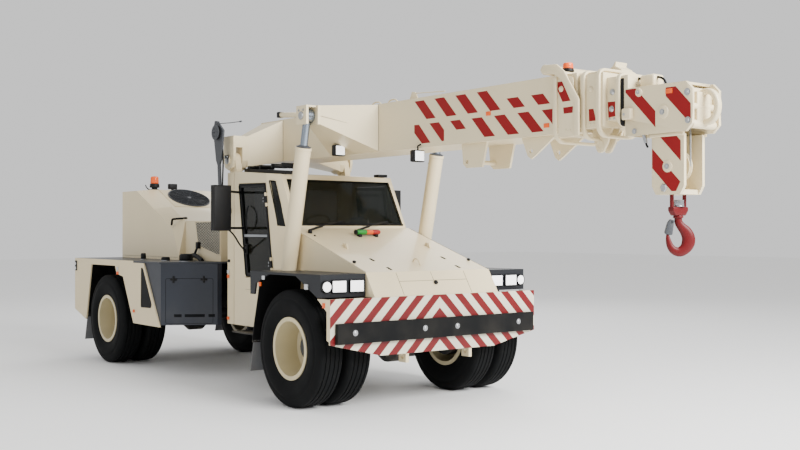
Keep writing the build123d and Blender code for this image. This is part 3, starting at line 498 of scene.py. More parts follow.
BODY_CREAM = srgb("dacaa5")
CREAM = Finish("cream_body_paint", BODY_CREAM, 0.42, coat=0.2, mottle=0.035, grain=0.00006, edge=0.5,
               dust=0.12)
BOOM_CREAM = Finish("cream_boom_paint", srgb("d8c9a5"), 0.44, coat=0.15, mottle=0.04, grain=0.00008, edge=0.5)
# Cream wheel paint made darker than the body cream: the painted shade of the wheel wells is laid into the rim
# colour.
RIM_CREAM_WITH_PAINTED_SHADE = Finish("cream_wheel_paint", srgb("c6b992"), 0.45, coat=0.1, mottle=0.05, grain=0.0001, edge=0.5,
                   dust=0.25)
CHEVRON = ChevronPaint("chevron_bumper", BODY_CREAM, 0.45, coat=0.1, mottle=0.035, edge=0.4, gloss=0.3,
                       second=srgb("66060b"))
DECK = DeckPaint("cream_and_slate_deck", BODY_CREAM, 0.45, coat=0.1, mottle=0.035, edge=0.4, dust=0.12,
                 gloss=0.35, second=srgb("2a2e36"))
SLATE = Finish("slate_body_paint", srgb("282c35"), 0.42, coat=0.1, mottle=0.06, grain=0.00006, edge=0.4,
               dust=0.1, gloss=0.3)
WING_SLATE = Finish("dark_slate_wing_paint", srgb("1b1d21"), 0.45, coat=0.05, mottle=0.08, grain=0.0001,
                    edge=0.4, gloss=0.25)
CHASSIS = Finish("black_chassis_paint", srgb("0e0f11"), 0.5, mottle=0.15, grain=0.0002, edge=0.6, dust=0.3,
                 gloss=0.25, slot="chassis_black")
TOWER = TowerPaint("black_and_cream_frame", srgb("0e0f11"), 0.48, mottle=0.12, grain=0.0002, edge=0.5,
                   dust=0.2, gloss=0.3, second=BODY_CREAM)
DARK_STEEL = Finish("dark_grey_paint", srgb("3c3e42"), 0.48, mottle=0.08, grain=0.0002, edge=0.6, gloss=0.35,
                    slot="dark_steel")
MACHINED = Turned("machined_steel", srgb("a3a6aa"), 0.34, metal=1.0, mottle=0.1, grain=0.0002)
ROD_CHROME = Turned("hard_chrome_rod", srgb("7f8893"), 0.22, metal=0.9, mottle=0.06, grain=0.00008)
BOLT = Turned("zinc_plated_bolt", srgb("a7a9ab"), 0.38, metal=0.85, mottle=0.12, grain=0.0002,
              stretch=(200, 200, 200))
PLASTIC = Grained("black_moulded_plastic", srgb("0b0b0c"), 0.52, mottle=0.12, grain=0.0002, grain_size=600.0,
                  gloss=0.25, slot="black_trim")
CAB_PLASTIC = Grained("grained_cab_plastic", srgb("1c1e22"), 0.6, mottle=0.1, grain=0.0003, grain_size=420.0,
                      gloss=0.3, slot="cab_plastic")
SEAL = Grained("window_seal_rubber", srgb("070708"), 0.66, mottle=0.1, grain=0.0001, grain_size=500.0,
               gloss=0.2)
PAD = Grained("buffer_rubber", srgb("0b0c0d"), 0.7, mottle=0.15, grain=0.0004, grain_size=240.0, dust=0.1,
              gloss=0.15)
FLAP = Grained("grey_flap_rubber", srgb("6a6c6f"), 0.75, mottle=0.12, grain=0.0004, grain_size=200.0,
               dust=0.3, gloss=0.3)
TYRE = TyreRubber("tyre_rubber", srgb("08090a"), 0.75, grain=0.0003, grain_size=260.0, gloss=0.12)
GLASS = Pane("tinted_cab_glass", srgb("0b0f0b"), 0.08, mottle=0.1, grain=0.0004, clear=0.36, gloss=0.3)
MIRROR = Turned("mirror_glass", srgb("c9cfd4"), 0.08, metal=1.0, mottle=0.02, grain=0.00002,
                slot="rod_chrome")
WHITE_LAMP = Glow("lit_headlamp_glass", srgb("ffffff"), 0.15, mottle=0.0, grain=0.0001, power=1.6)
CLEAR_LAMP = Fluted("clear_lens", srgb("c2c4c6"), 0.18, coat=0.5, mottle=0.02, grain=0.0004)
AMBER = Fluted("amber_lens", srgb("e85a0c"), 0.3, coat=0.2, mottle=0.06, grain=0.0004, gloss=0.3)
RED_LENS = Fluted("red_lens", srgb("a00c0c"), 0.3, coat=0.3, mottle=0.06, grain=0.0004, gloss=0.3)
GREEN_LENS = Fluted("green_lens", srgb("078a28"), 0.3, coat=0.2, mottle=0.06, grain=0.0004, gloss=0.3)
RED_FILM = Reflective("red_stripe_film", srgb("840a10"), 0.4, grain=0.00002, gloss=0.2)
HOOK_RED = Finish("red_hook_paint", srgb("560408"), 0.42, coat=0.0, mottle=0.1, grain=0.0003,
                  grain_size=120.0, edge=0.4, gloss=0.25, slot="hook_red")
CLOTH = Woven("seat_cloth", srgb("2b2d31"), 0.9, mottle=0.12, grain=0.0006, grain_size=1500.0)
PIPING = Grained("seat_piping", srgb("111112"), 0.7, grain=0.0002, grain_size=500.0)
WIRE = Turned("wire_rope_strand", srgb("8d8f8f"), 0.42, metal=0.8, mottle=0.2, grain=0.0003,
              stretch=(300, 300, 60))
HOSE = Grained("hose_rubber", srgb("0a0a0b"), 0.55, mottle=0.15, grain=0.0003, grain_size=700.0, gloss=0.2)
SEAM = Finish("panel_gap", srgb("6a6252"), 0.8, mottle=0.1, gloss=0.2)
SLATE_SEAM = Finish("slate_panel_gap", srgb("0d0f12"), 0.8, mottle=0.1, gloss=0.15, slot="black_trim")
GRILLE = Finish("pale_mesh_wire", srgb("d6cfbc"), 0.45, mottle=0.15, grain=0.0002, edge=0.4,
                slot="dark_steel")
SCREEN_GLOW = Glow("display_glass", srgb("28404a"), 0.2, mottle=0.2, power=0.25)


class Shop:
    """Materials made so far, so that pieces of one finish share one."""

    made: dict[str, bpy.types.Material] = {}

    @classmethod
    def get(cls, finish: Finish) -> bpy.types.Material:
        """The finish's material."""
        if finish.name not in cls.made:
            cls.made[finish.name] = finish.build()
        return cls.made[finish.name]


class Side(Enum):
    """The two sides of the crane; the value is the sign of Y."""

    RIGHT = -1
    LEFT = 1

    @property
    def label(self) -> str:
        """The side's word in the names of pieces and bodies."""
        return self.name.lower()


class Form:
    """A mesh that is being made, in metres in the crane's frame."""

    def __init__(self) -> None:
        """Starts an empty mesh."""
        self.bm = bmesh.new()

    def _bevel(self, verts: list, width: float, segments: int) -> None:
        """Rounds the open and sharp edges of some vertices."""
        if width > 0:
            self._round(list({e for v in verts for e in v.link_edges if not e.is_manifold
                              or e.calc_face_angle(0) > 0.5}), width, segments)

    def _round(self, edges: list, width: float, segments: int) -> None:
        """Rounds some edges."""
        bmesh.ops.bevel(self.bm, geom=edges, offset=width, offset_type="OFFSET", segments=segments,
                        profile=0.5, affect="EDGES", material=-1, clamp_overlap=True)

    def box(self, low: Point, high: Point, bevel: float = 0.0, segments: int = 2,
            turn: Matrix | None = None) -> "Form":
        """Adds a block with rounded edges.

        Args:
            low: one corner.
            high: the corner opposite.
            bevel: radius of its edges.
            segments: steps of each rounded edge.
            turn: a transform about its middle.

        Returns:
            The same form.
        """
        middle = (Vector(low) + Vector(high)) / 2
        size = Vector(abs(b - a) for a, b in zip(low, high))
        place = Matrix.Translation(middle) @ (turn.to_4x4() if turn else Matrix.Identity(4))
        made = bmesh.ops.create_cube(self.bm, size=1.0, matrix=place @ Matrix.Diagonal((*size, 1.0)))
        self._bevel(made["verts"], bevel, segments)
        return self

    def bar(self, start: Point, end: Point, radius: float, sides: int = 24, bevel: float = 0.0,
            far: float | None = None) -> "Form":
        """Adds a round bar or cone from start to end."""
        run = Vector(end) - Vector(start)
        turn = run.to_track_quat("Z", "Y").to_matrix().to_4x4()
        place = Matrix.Translation((Vector(start) + Vector(end)) / 2) @ turn
        made = bmesh.ops.create_cone(self.bm, cap_ends=True, segments=sides, radius1=radius,
                                     radius2=radius if far is None else far, depth=run.length, matrix=place)
        if bevel:
            edges = [e for v in made["verts"] for e in v.link_edges]
            self._round(list({e for e in edges if any(len(f.verts) > 4 for f in e.link_faces)}), bevel, 2)
        return self

    def hexagon(self, start: Point, end: Point, radius: float) -> "Form":
        """Adds a bolt head or nut with its washer."""
        run = (Vector(end) - Vector(start)).normalized()
        self.bar(start, Vector(start) + run * 0.003, radius * 1.35, 20)
        return self.bar(start, end, radius, 6, bevel=radius * 0.12)

    def plate(self, outline: Sequence[Point], push: Point, bevel: float = 0.0, segments: int = 2) -> "Form":
        """Adds a flat outline pushed along a vector.

        Args:
            outline: the corners in order.
            push: the vector it is pushed along.
            bevel: radius of its edges.
            segments: steps of each rounded edge.

        Returns:
            The same form.
        """
        first = [self.bm.verts.new(p) for p in outline]
        face = self.bm.faces.new(first)
        made = bmesh.ops.extrude_face_region(self.bm, geom=[face])
        far = [g for g in made["geom"] if isinstance(g, bmesh.types.BMVert)]
        bmesh.ops.translate(self.bm, verts=far, vec=Vector(push))
        self._bevel(first + far, bevel, segments)
        return self

    def spin(self, profile: Sequence[Point], origin: Point, axis: Point, steps: int = 48,
             closed: bool = False) -> "Form":
        """Adds a turned shape.

        Args:
            profile: (radius, distance along the axis) points.
            origin: where the distance is 0.
            axis: direction of the axis.
            steps: how many steps make the full turn.
            closed: whether the last point joins the first.

        Returns:
            The same form.
        """
        line = Vector(axis).normalized()
        side = line.orthogonal().normalized()
        verts = [self.bm.verts.new(Vector(origin) + side * r + line * h) for r, h in profile]
        pairs = list(zip(verts, verts[1:])) + ([(verts[-1], verts[0])] if closed else [])
        edges = [self.bm.edges.new(pair) for pair in pairs]
        bmesh.ops.spin(self.bm, geom=verts + edges, cent=Vector(origin), axis=line, angle=2 * pi, steps=steps,
                       use_merge=True, use_duplicate=False)
        bmesh.ops.remove_doubles(self.bm, verts=self.bm.verts[:], dist=1e-6)
        return self

    def pipe(self, points: Sequence[Point], radius: float, smooth: bool = True, sides: int = 3) -> "Form":
        """Adds a tube along a line of points, rounded at its corners if smooth."""
        curve = bpy.data.curves.new("line", "CURVE")
        curve.dimensions, curve.bevel_depth, curve.bevel_resolution = "3D", radius, sides
        curve.use_fill_caps, curve.resolution_u = True, 6
        spline = curve.splines.new("NURBS" if smooth else "POLY")
        spline.points.add(len(points) - 1)
        for target, p in zip(spline.points, points):
            target.co = (*p, 1.0)
        if smooth:
            spline.order_u, spline.use_endpoint_u = 3, True
        holder = bpy.data.objects.new("line", curve)
        mesh = bpy.data.meshes.new_from_object(holder)
        self.bm.from_mesh(mesh)
        bpy.data.objects.remove(holder)
        bpy.data.curves.remove(curve)
        bpy.data.meshes.remove(mesh)
        return self

    def skin(self, rings: Sequence[Sequence[Point]], closed: bool = False, bevel: float = 0.0,
             segments: int = 4) -> "Form":
        """Adds a surface through rings that have the same number of points.

        Args:
            rings: the rings in order.
            closed: whether the last ring joins the first; otherwise both ends are capped.
            bevel: radius of the sharp edges.
            segments: steps of each rounded edge.

        Returns:
            The same form.
        """
        rows = [[self.bm.verts.new(p) for p in ring] for ring in rings]
        for one, two in zip(rows, rows[1:] + (rows[:1] if closed else [])):
            for n in range(len(one)):
                m = (n + 1) % len(one)
                self.bm.faces.new((one[n], one[m], two[m], two[n]))
        if not closed:
            self.bm.faces.new(rows[0])
            self.bm.faces.new(list(reversed(rows[-1])))
        self._bevel([v for row in rows for v in row], bevel, segments)
        return self

    def sweep(self, path: Sequence[Point], out: Sequence[float], side: Sequence[float], axis: Point,
              closed: bool = False, square: float = 1.0) -> "Form":
        """Adds a bar along a flat path.

        Args:
            path: its middle line, in a plane.
            out: half of its size in that plane, at each point.
            side: half of its size across that plane, at each point.
            axis: the plane's normal.
            closed: whether the path closes.
            square: 1 for a round section, less for a squarer one.

        Returns:
            The same form.
        """
        line, count = [Vector(p) for p in path], len(path)
        across = Vector(axis).normalized()
        rings = []
        for n, p in enumerate(line):
            before = line[n - 1] if n or closed else p
            after = line[(n + 1) % count] if n < count - 1 or closed else p
            outward = (after - before).normalized().cross(across)
            ring = []
            for k in range(16):
                c, s = cos(2 * pi * (k + 0.5) / 16), sin(2 * pi * (k + 0.5) / 16)
                u, v = abs(c) ** square * (1 if c > 0 else -1), abs(s) ** square * (1 if s > 0 else -1)
                ring.append(p + outward * (u * out[n]) + across * (v * side[n]))
            rings.append(ring)
        return self.skin(rings, closed)

    def both(self) -> "Form":
        """Adds the mirror image of everything on the other side of the centre plane."""
        made = bmesh.ops.duplicate(self.bm,
                                   geom=self.bm.verts[:] + self.bm.edges[:] + self.bm.faces[:])["geom"]
        bmesh.ops.scale(self.bm, vec=(1, -1, 1), verts=[g for g in made if isinstance(g, bmesh.types.BMVert)])
        bmesh.ops.reverse_faces(self.bm, faces=[g for g in made if isinstance(g, bmesh.types.BMFace)])
        return self

    def done(self, name: str, finish: Finish, body: str, crease: float = 32.0,
             slot: str = "") -> bpy.types.Object:
        """Finishes the mesh as a piece that rides on a body.

        Args:
            name: the piece's name.
            finish: its finish.
            body: the body it moves with.
            crease: edges sharper than this many degrees stay sharp.
            slot: not used.

        Returns:
            The new object.
        """
        piece = self.loose(name, finish)
        piece.data.set_sharp_from_angle(angle=radians(crease))
        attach(piece, body)
        return piece

    def loose(self, name: str, finish: Finish) -> bpy.types.Object:
        """Finishes the mesh as an object that rides on nothing yet."""
        bmesh.ops.recalc_face_normals(self.bm, faces=self.bm.faces[:])
        mesh = bpy.data.meshes.new(name)
        self.bm.to_mesh(mesh)
        self.bm.free()
        mesh.shade_smooth()
        mesh.materials.append(Shop.get(finish))
        piece = bpy.data.objects.new(name, mesh)
        bpy.context.scene.collection.objects.link(piece)
        LOG.info("%s: %d faces in %s", name, len(mesh.polygons), finish.name)
        return piece


def on_side(points: Sequence[Point], y: float) -> list[Point]:
    """(x, z) points set at one y."""
    return [(x, y, z) for x, z in points]


def smooth_between(p: float, q: float, r: float, s: float, t: float) -> float:
    """Value at share t from q to r on a smooth curve that comes from p and goes on to s."""
    square, cube = 2 * p - 5 * q + 4 * r - s, 3 * q - p - 3 * r + s
    return (2 * q + (r - p) * t + square * t ** 2 + cube * t ** 3) / 2


def rounded(corners: Sequence[Point], radii: Sequence[float], steps: int = 6) -> list[Point]:
    """A flat outline with round corners.

    Args:
        corners: two-number corners in order.
        radii: the radius of each corner.
        steps: points of each round.

    Returns:
        The outline's points.
    """
    line: list[Point] = []
    for n, (corner, radius) in enumerate(zip(corners, radii)):
        here = Vector(corner)
        one = (Vector(corners[n - 1]) - here).normalized()
        two = (Vector(corners[(n + 1) % len(corners)]) - here).normalized()
        half = one.angle(two) / 2
        reach = radius / tan(half)
        middle = here + (one + two).normalized() * (radius / sin(half))
        start, end = here + one * reach - middle, here + two * reach - middle
        for k in range(steps + 1):
            turn = start.slerp(end, k / steps, start).normalized() * radius
            line.append(tuple(middle + turn))
    return line


@dataclass
class Wheels:
    """Twin tyres with ribbed treads, wheel nuts, hub caps and valves."""

    radius: float = 0.613
    half_width: float = 0.1565
    twin: float = 0.35
    face: float = 1.373
    grooves: tuple[float, ...] = (-0.078, -0.028, 0.028, 0.078)
    axles: dict[str, float] = field(default_factory=lambda: {"front": 0.85, "rear": -3.994})

    def section(self) -> list[Point]:
        """Half of a tyre's outline from the bead to the middle of the tread, then mirrored."""
        wall = [(0.3006, 0.1), (0.306, 0.112), (0.322, 0.119), (0.342, 0.1245), (0.346, 0.1275),
                (0.352, 0.1285), (0.38, 0.14), (0.41, 0.1495), (0.44, 0.155), (0.47, 0.1563), (0.5, 0.1553),
                (0.503, 0.1528), (0.528, 0.1505), (0.531, 0.1525), (0.556, 0.1475), (0.576, 0.1405),
                (0.592, 0.1315), (0.604, 0.12), (0.61, 0.11), (0.6125, 0.098)]
        tread: list[Point] = []
        for groove in sorted(self.grooves, reverse=True):
            for depth, step in ((0.0, 0.0065), (0.01, 0.0045), (0.01, -0.0045), (0.0, -0.0065)):
                tread.append((self.radius - depth, groove + step))
        return wall + tread + [(r, -y) for r, y in reversed(wall)]

    def build(self) -> None:
        """Makes every wheel's pieces."""
        for axle, x in self.axles.items():
            for side in Side:
                self.tyres(axle, x, side)
                self.hub(axle, x, side)

    def tyres(self, axle: str, x: float, side: Side) -> None:
        """The two tyres of one wheel."""
        label = f"{axle}_{side.label}"
        form = Form()
        for n in range(2):
            middle = side.value * (self.face - self.half_width - n * self.twin)
            form.spin(self.section(), (x, middle, self.radius), Y_AXIS, steps=112, closed=True)
        piece = form.done(f"tread_{label}", TYRE, f"wheel_{label}", 38.0)
        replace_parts(piece, f"tyres_{label}")

    def hub(self, axle: str, x: float, side: Side) -> None:
        """Wheel nuts, hub cap and valve of one wheel."""
        label, s = f"{axle}_{side.label}", side.value
        nuts = Form()
        for n in range(10):
            angle = 2 * pi * n / 10 + 0.2
            px, pz = x + 0.2 * cos(angle), self.radius + 0.2 * sin(angle)
            nuts.hexagon((px, s * 1.049, pz), (px, s * 1.072, pz), 0.019)
            nuts.bar((px, s * 1.06, pz), (px, s * 1.085, pz), 0.011, 12, bevel=0.001)
        nuts.pipe([(x + 0.255, s * 1.05, self.radius - 0.02), (x + 0.262, s * 1.12, self.radius - 0.02),
                   (x + 0.272, s * 1.19, self.radius - 0.02)], 0.006)
        nuts.done(f"wheel_nuts_{label}", BOLT, f"wheel_{label}")
        cap = Form()
        profile = [(0.0, 1.166), (0.045, 1.165), (0.072, 1.158), (0.088, 1.148), (0.092, 1.1325),
                   (0.128, 1.1315), (0.132, 1.1275), (0.132, 1.1206), (0.0, 1.1206)]
        cap.spin([(r, s * y) for r, y in profile], (x, 0, self.radius), Y_AXIS, 40)
        for n in range(8):
            angle = 2 * pi * n / 8
            px, pz = x + 0.111 * cos(angle), self.radius + 0.111 * sin(angle)
            cap.hexagon((px, s * 1.131, pz), (px, s * 1.14, pz), 0.008)
        cap.done(f"hub_cap_{label}", DARK_STEEL, f"wheel_{label}")


@dataclass
class NoseEnd:
    """Bumper, cowl and wing details at the front."""

    pad_x: float = 1.72
    half: float = 0.842
    crease: Point = (1.505, 1.411)
    rear: Point = (0.075, 1.87)
    foot: Point = (1.662, 1.165)

    def cowl_z(self, x: float) -> float:
        """Height of the cowl's slope at x."""
        slope = (self.crease[1] - self.rear[1]) / (self.crease[0] - self.rear[0])
        return self.rear[1] + slope * (x - self.rear[0])

    def face_x(self, z: float) -> float:
        """Place of the cowl's steep face at height z."""
        drop = (self.crease[1] - z) / (self.crease[1] - self.foot[1])
        return self.crease[0] + (self.foot[0] - self.crease[0]) * drop

    def build(self) -> None:
        """Makes the pieces of the front."""
        self.bumper()
        self.cowl()
        self.wipers()
        self.indicator()
        self.wings()

    def bumper(self) -> None:
        """Buffer bolts and the reflectors at the bumper's ends."""
        bolts = Form()
        for y in (-1.12, -0.235, 0.205, 1.1):
            bolts.spin([(0.0, 0.012), (0.012, 0.011), (0.021, 0.006), (0.024, 0.0), (0.03, 0.0),
                        (0.03, -0.003), (0.0, -0.003)], (self.pad_x + 0.001, y, 0.828), X_AXIS, 24)
        bolts.done("buffer_bolts", BOLT, FRONT)
        for side in Side:
            s = side.value
            marker = Form().box((1.535, s * 1.3885, 1.075), (1.585, s * 1.3925, 1.125), 0.0015)
            marker.done(f"bumper_reflector_{side.label}", AMBER, FRONT)

    def cowl(self) -> None:
        """Seams, vents, knobs and the grab ridge on the cowl."""
        seams = Form()
        lift = 0.0007
        for y in (-0.462, 0.462):
            top, low = (self.face_x(1.4) + lift, y, 1.4), (self.face_x(1.175) + lift, y, 1.175)
            seams.pipe([top, low], 0.0022, False, 1)
        fold = 1.312
        seams.pipe([(self.face_x(fold) + lift, y, fold) for y in (-0.462, 0.462)], 0.0022, False, 1)
        seams.pipe([(self.face_x(z) + lift, 0.0, z) for z in (1.4, fold)], 0.0018, False, 1)
        for y in (-0.835, 0.835):
            seams.pipe([(x, y, self.cowl_z(x) + lift) for x in (0.09, 1.5)], 0.0022, False, 1)
        seams.done("cowl_seams", SEAM, FRONT)
        vents = Form()
        slope = atan2(self.crease[1] - self.rear[1], self.crease[0] - self.rear[0])
        turn = Matrix.Rotation(-slope, 3, "Y")
        for x, y in ((1.143, -0.5), (1.415, -0.474), (1.127, 0.5), (1.409, 0.474)):
            z = self.cowl_z(x)
            for slot_y in (y - 0.011, y, y + 0.011):
                vents.box((x - 0.042, slot_y - 0.0032, z - 0.002), (x + 0.042, slot_y + 0.0032, z + 0.003),
                          0.001, 1, turn)
        vents.done("cowl_vents", SLATE_SEAM, FRONT)
        knobs = Form()
        normal = Vector((sin(-slope), 0, cos(slope)))
        for y in (-0.79, 0.79):
            base = Vector((1.225, y, self.cowl_z(1.225)))
            knobs.spin([(0.0, 0.026), (0.014, 0.025), (0.021, 0.018), (0.021, 0.01), (0.014, 0.004),
                        (0.018, -0.002), (0.0, -0.002)], base, normal, 20)
        steep = Vector((self.crease[1] - self.foot[1], 0, self.foot[0] - self.crease[0])).normalized()
        base = Vector((self.face_x(1.285), 0.01, 1.285))
        knobs.spin([(0.0, 0.028), (0.016, 0.026), (0.024, 0.018), (0.024, 0.01), (0.015, 0.004),
                    (0.02, -0.002), (0.0, -0.002)], base, steep, 20)
        knobs.done("cowl_latches", PLASTIC, FRONT)
        grab = Form()
        ridge = [(1.215, 0.0, self.cowl_z(1.215) - 0.004), (1.235, 0.0, self.cowl_z(1.235) + 0.045),
                 (1.315, 0.0, self.cowl_z(1.315) + 0.052), (1.345, 0.0, self.cowl_z(1.345) - 0.004)]
        grab.pipe(ridge, 0.009, True, 4)
        for side in Side:
            x, y = 0.755, side.value * 0.578
            grab.spin([(0.014, 0.0), (0.022, 0.0), (0.024, 0.002), (0.024, 0.004), (0.014, 0.004)],
                      (x, y - 0.0145, self.cowl_z(x) + 0.02), Y_AXIS, 24, True)
        grab.done("cowl_grab_handle", CREAM, FRONT)

    def wipers(self) -> None:
        """Two wipers parked along the foot of the windscreen, with washer jets."""
        low, high, out = SCREEN_FOOT, SCREEN_HEAD, SCREEN_OUT
        arms, blades = Form(), Form()
        for y in (-0.713, -0.055):
            pivot = Vector((0.26, y, self.cowl_z(0.26)))
            arms.bar(pivot - Vector((0, 0, 0.004)), pivot + Vector((0, 0, 0.035)), 0.024, 20, 0.003)
            top = pivot + Vector((0, 0, 0.03))
            tip = low.lerp(high, 0.09) + out * 0.034 + Vector((0, y + 0.57, 0))
            arms.pipe([top, (0.215, y + 0.1, 1.868), (0.135, y + 0.36, 1.922), tip], 0.008, True, 2)
            arms.pipe([top + Vector((0.01, -0.02, 0)), (0.22, y + 0.09, 1.866), (0.17, y + 0.22, 1.89)],
                      0.014, True, 2)
            start = low.lerp(high, 0.02) + out * 0.016 + Vector((0, y + 0.2, 0))
            end = low.lerp(high, 0.03) + out * 0.016 + Vector((0, y + 0.8, 0))
            middle = start.lerp(end, 0.55) + (high - low) * 0.045 + out * 0.012
            blades.pipe([start, middle, end], 0.009, True, 2)
            blades.box(middle - Vector((0.012, 0.04, 0.02)), middle + Vector((0.014, 0.04, 0.004)), 0.003)
        jet = Vector((0.36, -0.715, self.cowl_z(0.36)))
        arms.bar(jet - Vector((0, 0, 0.004)), jet + Vector((0, 0, 0.014)), 0.011, 14, 0.002)
        arms.done("wiper_arms", PLASTIC, FRONT)
        blades.done("wiper_blades", SEAL, FRONT)

    def indicator(self) -> None:
        """Load indicator bar on the cowl: green, amber and red lenses in a black holder."""
        x, z = 0.375, self.cowl_z(0.375)
        holder = Form().box((x - 0.028, -0.165, z + 0.018), (x + 0.012, 0.155, z + 0.078), 0.008)
        for y in (-0.12, 0.11):
            holder.box((x - 0.03, y - 0.02, z - 0.012), (x + 0.03, y + 0.02, z + 0.024), 0.003)
        holder.bar((x + 0.004, -0.18, z + 0.048), (x + 0.004, -0.16, z + 0.048), 0.03, 20, 0.004)
        holder.done("indicator_holder", PLASTIC, FRONT)
        for name, finish, y0, y1 in (("green", GREEN_LENS, -0.16, -0.03), ("amber", AMBER, -0.029, 0.06),
                                     ("red", RED_LENS, 0.061, 0.15)):
            lens = Form().bar((x + 0.008, y0, z + 0.048), (x + 0.008, y1, z + 0.048), 0.027, 24, 0.003)
            if name == "red":
                lens.spin([(0.0, 0.022), (0.012, 0.02), (0.022, 0.01), (0.026, 0.0), (0.0, 0.0)],
                          (x + 0.008, y1, z + 0.048), Y_AXIS, 24)
            lens.done(f"indicator_{name}", finish, FRONT)

    def wings(self) -> None:
        """Lamp bezels, wing markers and flap clamps."""
        for side in Side:
            s, label = side.value, side.label
            bezel = Form()
            x0, x1, z = 1.4995, 1.5245, 1.279
            profile = [(0.0505, 0.0), (0.0505, 0.025), (0.056, 0.027), (0.062, 0.022), (0.064, 0.0)]
            bezel.spin(profile, (x0, s * 1.325, z), X_AXIS, 36, True)
            for y in (1.175, 0.96):
                for dy0, dy1, z0, z1 in ((-0.088, -0.0805, -0.064, 0.064), (0.0805, 0.088, -0.064, 0.064),
                                         (-0.0805, 0.0805, -0.064, -0.0555),
                                         (-0.0805, 0.0805, 0.0555, 0.064)):
                    bezel.box((x0, s * y + dy0, z + z0), (x1, s * y + dy1, z + z1), 0.002)
            bezel.done(f"lamp_bezels_{label}", PLASTIC, FRONT)
            marks = Form().box((0.375, s * 1.3885, 1.315), (0.425, s * 1.402, 1.357), 0.004)
            marks.box((1.22, s * 1.3885, 1.245), (1.28, s * 1.404, 1.3), 0.005)
            marks.done(f"wing_clear_markers_{label}", CLEAR_LAMP, FRONT)
            amber = Form().box((0.31, s * 1.3885, 1.243), (0.355, s * 1.404, 1.287), 0.004)
            amber.done(f"wing_amber_marker_{label}", AMBER, FRONT)
            clamp = Form().box((0.098, s * 0.765, 0.618), (0.122, s * 1.36, 0.652), 0.002)
            for k in range(6):
                y = s * (0.82 + 0.1 * k)
                clamp.hexagon((0.121, y, 0.635), (0.131, y, 0.635), 0.009)
                clamp.hexagon((0.099, y, 0.635), (0.089, y, 0.635), 0.009)
            clamp.done(f"front_flap_clamp_{label}", CHASSIS, FRONT)


